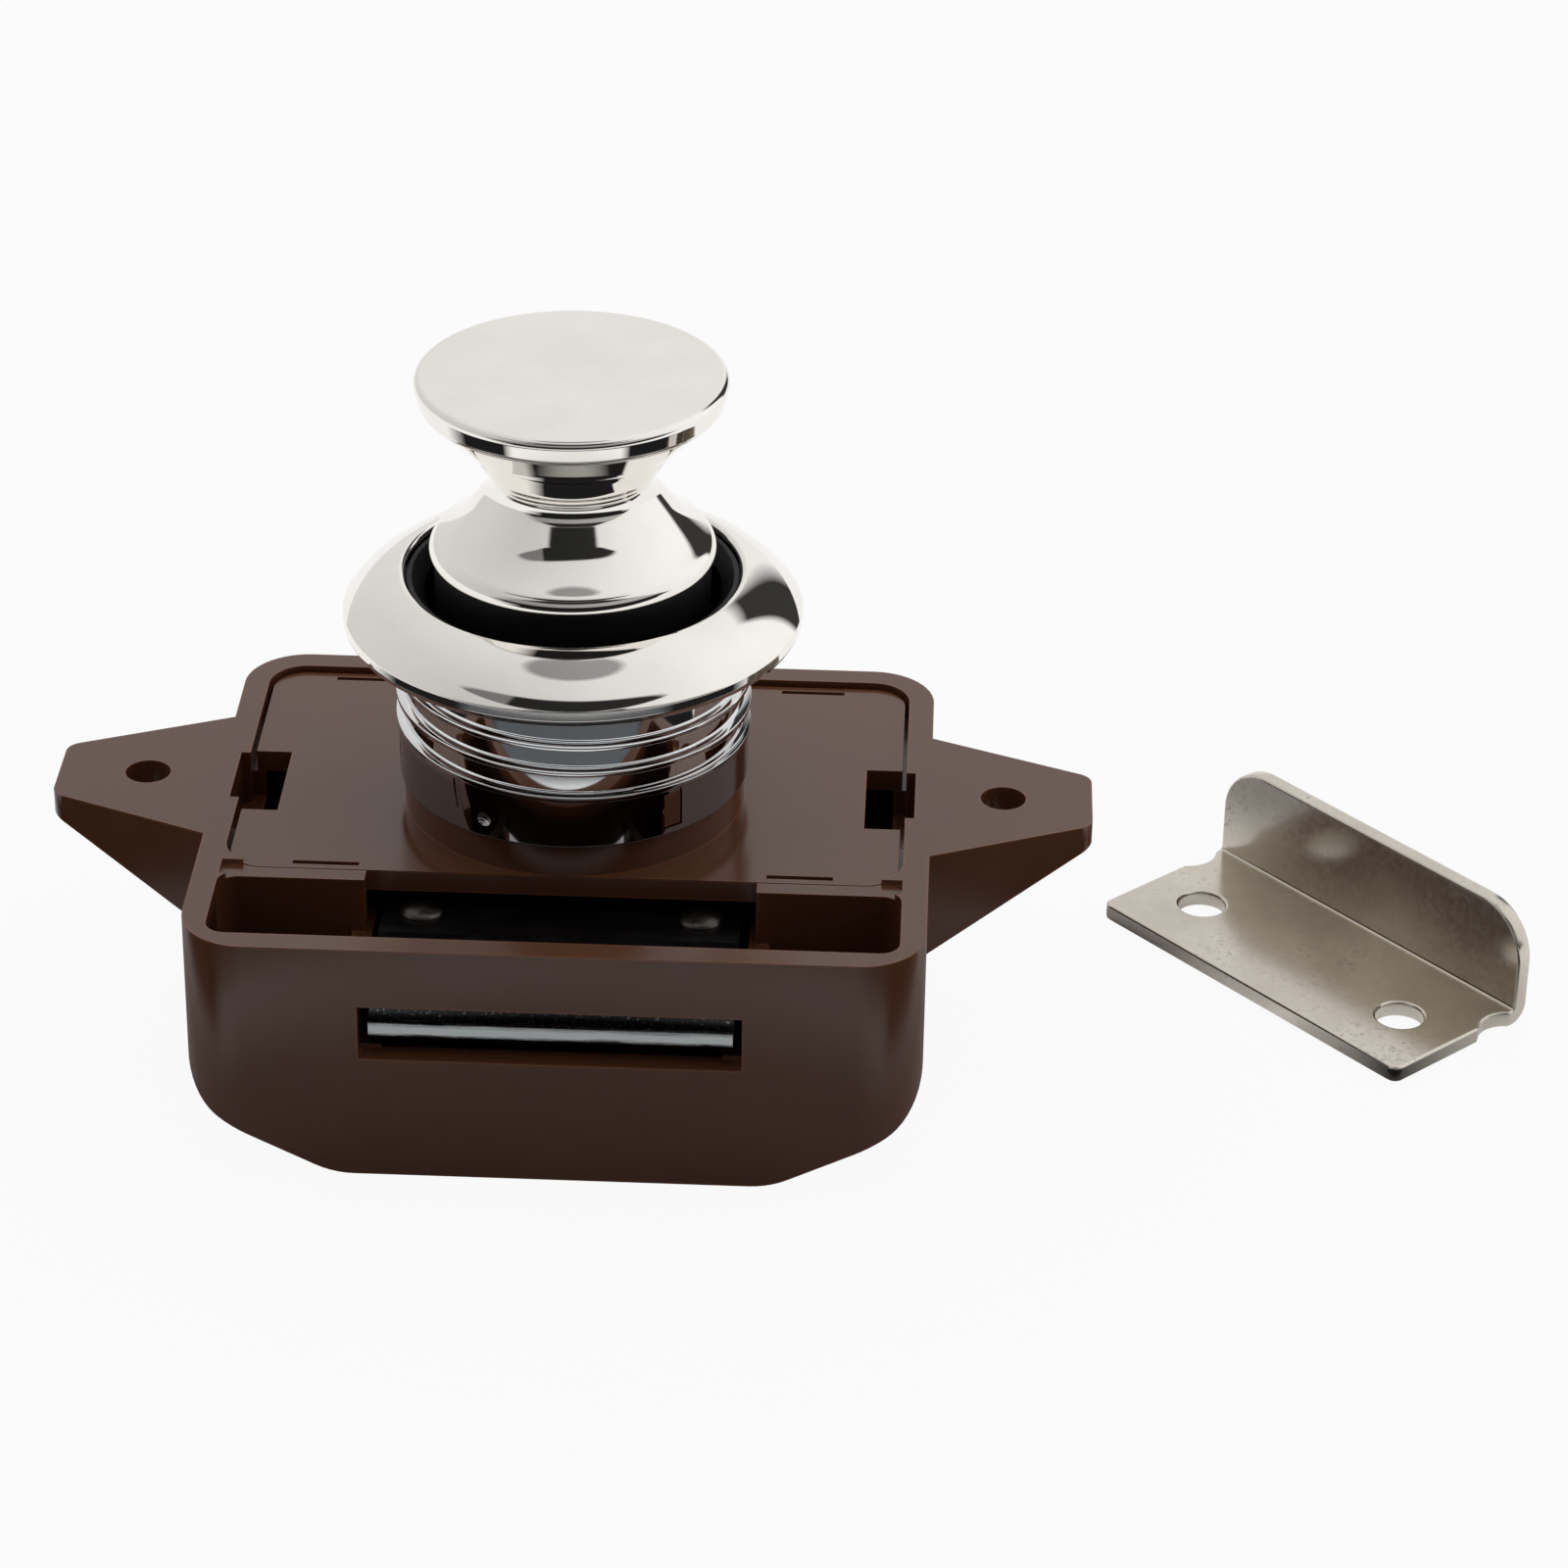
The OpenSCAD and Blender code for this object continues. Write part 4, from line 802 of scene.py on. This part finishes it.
rivetTree, rivetSockets = makeRivetTree()
rivet = {"spacing": 19.4, "place": (-9.7, -12.3, -8.8), "shank": 0.8, "length": 5.5, "head": 1.65,
         "headHigh": 0.7, "tailHigh": 0.5}
rivets = growFrom(rivetTree, rivetSockets, "boltRivets", {
    "Spacing": rivet["spacing"] * mm, "Shank radius": rivet["shank"] * mm,
    "Shank length": rivet["length"] * mm, "Head radius": rivet["head"] * mm,
    "Head height": rivet["headHigh"] * mm, "Tail height": rivet["tailHigh"] * mm,
    "Place": [v * mm for v in rivet["place"]], "Finish": rivetSteel})
dress(rivets, "carrier", "rivet_steel", rivetSteel, "bolt_rivet_left", "bolt_rivet_right")
print("bolt and springs made")

# Strike
strikeEdge = 0.3
strike = softCopy("strike_plate", "strikeSheet", strikeEdge, 3)
dress(strike, "strike", "nickel_steel", nickelPlate, "strike_plate")

plainFinishes = {"plunger": blackPlastic, "knob_screw": plainSteel, "bolt_carrier": carrierSteel,
                 "drive_pin_left": plainSteel, "drive_pin_right": plainSteel, "catch_wire": springSteel,
                 "catch_leaf": springSteel}
for name, finish in plainFinishes.items():
    nodes[name].data.materials.clear()
    nodes[name].data.materials.append(finish)
print("strike and inner parts dressed")

# Floor, white to the camera, with shaded zones that only the shiny pieces and soft light meet
stageLook = {"floorZ": -18.0, "floorHalf": 3.0, "pale": (0.86, 0.86, 0.86), "whiteMix": 0.93,
             "shadeNear": (0.62, 0.62, 0.63), "shadeFar": (0.2, 0.215, 0.23), "dim": (0.025, 0.025, 0.027)}
# reach from the knob axis in mm, turn from the front in degrees, each zone with the start and end of its fade
floorZones = {"near": (43, 53), "nearTone": (51, 56), "ringIn": (54, 57), "ringOut": (74, 80),
              "sideIn": (44, 52), "farIn": (112, 122), "middleLeft": (-50, -42), "middleRight": (42, 50),
              "wideLeft": (-105, -85), "wideRight": (82, 95), "farLeft": (-62, -35), "farRight": (70, 78)}
bm = bmesh.new()
bmesh.ops.create_grid(bm, x_segments=1, y_segments=1, size=stageLook["floorHalf"])
bmesh.ops.translate(bm, verts=bm.verts, vec=(0, 0, stageLook["floorZ"] * mm))
floor = addObject("floor", meshFrom(bm, "floor"))
floorMaterial, tree, shader, where = newMaterial("floorPaint")
link = tree.links.new
shader.inputs["Roughness"].default_value = 0.9
shader.inputs["Specular IOR Level"].default_value = 0.0
spot = splitPlace(tree, where)
ahead = mathNode(tree, "MULTIPLY", spot["Y"], -1.0)
turn = mathNode(tree, "ARCTAN2", spot["X"], ahead)
flat = addNode(tree, "ShaderNodeCombineXYZ")
link(spot["X"], flat.inputs["X"])
link(spot["Y"], flat.inputs["Y"])
away = addNode(tree, "ShaderNodeVectorMath", operation="LENGTH")
link(flat.outputs[0], away.inputs[0])
reach = away.outputs["Value"]


def times(first, second):
    return mathNode(tree, "MULTIPLY", first, second)


def fadeIn(value, zone, unit):
    return mapRange(tree, value, *(v * unit for v in floorZones[zone]), 0.0, 1.0)


def fadeOut(value, zone, unit):
    return mapRange(tree, value, *(v * unit for v in floorZones[zone]), 1.0, 0.0)


degree = math.radians(1)
middle = times(fadeIn(turn, "middleLeft", degree), fadeOut(turn, "middleRight", degree))
wide = times(fadeIn(turn, "wideLeft", degree), fadeOut(turn, "wideRight", degree))
shadeRing = times(fadeIn(reach, "ringIn", mm), fadeOut(reach, "ringOut", mm))
close = mathNode(tree, "MAXIMUM", times(shadeRing, wide), fadeOut(reach, "near", mm))
sides = times(mathNode(tree, "SUBTRACT", 1.0, middle), fadeIn(reach, "sideIn", mm))
sides = times(sides, fadeOut(reach, "ringOut", mm))
beyond = times(fadeIn(ahead, "farIn", mm), fadeIn(turn, "farLeft", degree))
beyond = times(beyond, fadeOut(turn, "farRight", degree))
beyond = mathNode(tree, "MAXIMUM", beyond, times(wide, sides))
rays = addNode(tree, "ShaderNodeLightPath")
seen = mathNode(tree, "MAXIMUM", rays.outputs["Is Camera Ray"], rays.outputs["Is Transmission Ray"])
unseen = mathNode(tree, "SUBTRACT", 1.0, seen)
close = times(close, unseen)
beyond = times(beyond, unseen)
nearTone = mixColours(tree, fadeIn(reach, "nearTone", mm), stageLook["shadeNear"], stageLook["shadeFar"])
shaded = mixColours(tree, close, stageLook["pale"], nearTone)
link(mixColours(tree, beyond, shaded, stageLook["dim"]), shader.inputs["Base Color"])
clear = mathNode(tree, "SUBTRACT", 1.0, mathNode(tree, "MAXIMUM", close, beyond))
seen = mathNode(tree, "MAXIMUM", seen, times(rays.outputs["Is Glossy Ray"], clear))
glow = addNode(tree, "ShaderNodeEmission")
mixed = addNode(tree, "ShaderNodeMixShader")
link(times(seen, stageLook["whiteMix"]), mixed.inputs[0])
link(shader.outputs[0], mixed.inputs[1])
link(glow.outputs[0], mixed.inputs[2])
link(mixed.outputs[0], tree.nodes["Material Output"].inputs["Surface"])
floor.data.materials.append(floorMaterial)

# White studio with dark cards, angles in degrees from the front and above the horizon
levels = {"left": 0.7, "right": 1.03, "front": 0.8, "frontFill": 0.3}
frontCard = {"left": (-61, -45), "right": (90, 56), "rise": (-8, 30), "leftSoft": 7, "rightSoft": 2,
             "dark": 0.985, "paler": (7, 11), "share": 0.5}
slimCard = {"left": (-42, -20), "right": (54, 32), "rise": (29, 44.4), "leftSoft": 5, "rightSoft": 2,
            "dark": 0.96}
roundCard = {"centre": -3, "half": 62, "low": 44.6, "high": 56, "dark": 0.97, "paleTo": (-36, -33),
             "share": 0.72}
topCard = {"from": 77.0, "soft": 1.5, "dark": 0.6}
sideCard = {"turn": (138, 160), "turnSoft": (2, 4), "rise": (-4, 38), "riseSoft": (2, 3), "dark": 0.96}
world = bpy.data.worlds.new("studio")
scene.world = world
world.use_nodes = True
tree = world.node_tree
link = tree.links.new
sky = tree.nodes["Background"]
direction = addNode(tree, "ShaderNodeTexCoord")
way = splitPlace(tree, direction.outputs["Generated"])
turn = mathNode(tree, "ARCTAN2", way["X"], mathNode(tree, "MULTIPLY", way["Y"], -1.0))
rise = mathNode(tree, "ARCSINE", way["Z"])
level = mapRange(tree, way["X"], -0.7, 0.7, levels["left"], levels["right"])
level = mathNode(tree, "MULTIPLY", level, mapRange(tree, way["Y"], -0.8, 0.4, levels["front"], 1.0))


def between(value, limits, soft):
    low, high = (math.radians(v) for v in limits)
    softLow, softHigh = (math.radians(v) for v in soft)
    above = mapRange(tree, value, low - softLow, low + softLow, 0.0, 1.0)
    below = mapRange(tree, value, high - softHigh, high + softHigh, 1.0, 0.0)
    return mathNode(tree, "MULTIPLY", above, below)


def darken(value, mask, dark):
    return mathNode(tree, "MULTIPLY", value, mapRange(tree, mask, 0.0, 1.0, 1.0, 1.0 - dark))


# a card whose left and right edges run from one angle at its foot to another at its top
def narrowing(card):
    low, high = (math.radians(v) for v in card["rise"])
    leftEdge = mapRange(tree, rise, low, high, *(math.radians(v) for v in card["left"]))
    rightEdge = mapRange(tree, rise, low, high, *(math.radians(v) for v in card["right"]))
    leftSoft, rightSoft = math.radians(card["leftSoft"]), math.radians(card["rightSoft"])
    leftMask = mapRange(tree, mathNode(tree, "SUBTRACT", turn, leftEdge), -leftSoft, leftSoft, 0.0, 1.0)
    rightMask = mapRange(tree, mathNode(tree, "SUBTRACT", rightEdge, turn), -rightSoft, rightSoft, 0.0, 1.0)
    return mathNode(tree, "MULTIPLY", mathNode(tree, "MULTIPLY", leftMask, rightMask),
                    between(rise, card["rise"], (1, 0.4)))


# the upper part of the front card is paler, so that flat chrome stays bright from behind
paler = mapRange(tree, rise, *(math.radians(v) for v in frontCard["paler"]), 1.0, frontCard["share"])
frontMask = mathNode(tree, "MULTIPLY", narrowing(frontCard), paler)
level = darken(level, frontMask, frontCard["dark"])
level = darken(level, narrowing(slimCard), slimCard["dark"])
across = mathNode(tree, "SUBTRACT", turn, math.radians(roundCard["centre"]))
across = mathNode(tree, "POWER", mathNode(tree, "DIVIDE", across, math.radians(roundCard["half"])), 2.0)
over = mathNode(tree, "SUBTRACT", rise, math.radians(roundCard["low"]))
over = mathNode(tree, "DIVIDE", over, math.radians(roundCard["high"] - roundCard["low"]))
inside = mathNode(tree, "ADD", across, mathNode(tree, "POWER", over, 2.0))
roundMask = mathNode(tree, "MULTIPLY", mapRange(tree, inside, 0.9, 1.1, 1.0, 0.0),
                     mapRange(tree, over, 0.0, 0.06, 0.0, 1.0))
roundShare = mapRange(tree, turn, *(math.radians(v) for v in roundCard["paleTo"]), roundCard["share"], 1.0)
level = darken(level, mathNode(tree, "MULTIPLY", roundMask, roundShare), roundCard["dark"])
topMask = mapRange(tree, rise, math.radians(topCard["from"] - topCard["soft"]),
                   math.radians(topCard["from"] + topCard["soft"]), 0.0, 1.0)
level = darken(level, topMask, topCard["dark"])
sideMask = mathNode(tree, "MULTIPLY", between(turn, sideCard["turn"], sideCard["turnSoft"]),
                    between(rise, sideCard["rise"], sideCard["riseSoft"]))
level = darken(level, sideMask, sideCard["dark"])
rays = addNode(tree, "ShaderNodeLightPath")
fill = mapRange(tree, way["Y"], -0.7, 0.25, levels["frontFill"], 1.0)
fill = mathNode(tree, "MAXIMUM", fill, mathNode(tree, "SUBTRACT", 1.0, rays.outputs["Is Diffuse Ray"]))
level = mathNode(tree, "MULTIPLY", level, fill)
level = mathNode(tree, "MAXIMUM", level, rays.outputs["Is Camera Ray"])
link(level, sky.inputs["Strength"])
sky.inputs["Color"].default_value = (1, 1, 1, 1)

# Camera fitted to the case edges and the turned circles
shot = {"yaw": -1.8473, "pitch": 29.6593, "roll": 0.8956, "target": (14.8555, 0, 0.6122),
        "distance": 360.3123, "lens": 116.8056}
yaw, pitch, roll = (math.radians(shot[key]) for key in ("yaw", "pitch", "roll"))
forward = Vector((math.sin(yaw) * math.cos(pitch), math.cos(yaw) * math.cos(pitch), -math.sin(pitch)))
right = Vector((math.cos(yaw), -math.sin(yaw), 0))
up = right.cross(forward)
rolledRight = math.cos(roll) * right + math.sin(roll) * up
rolledUp = -math.sin(roll) * right + math.cos(roll) * up
lens = bpy.data.cameras.new("camera")
lens.lens = shot["lens"]
lens.sensor_width = 36
lens.sensor_fit = "HORIZONTAL"
lens.clip_start = 0.01
camera = bpy.data.objects.new("camera", lens)
scene.collection.objects.link(camera)
aim = Matrix((rolledRight, rolledUp, -forward)).transposed().to_4x4()
place = (Vector(shot["target"]) - forward * shot["distance"]) * mm
camera.matrix_world = Matrix.Translation(place) @ aim
scene.camera = camera
scene.view_settings.view_transform = "Standard"
print("stage set")
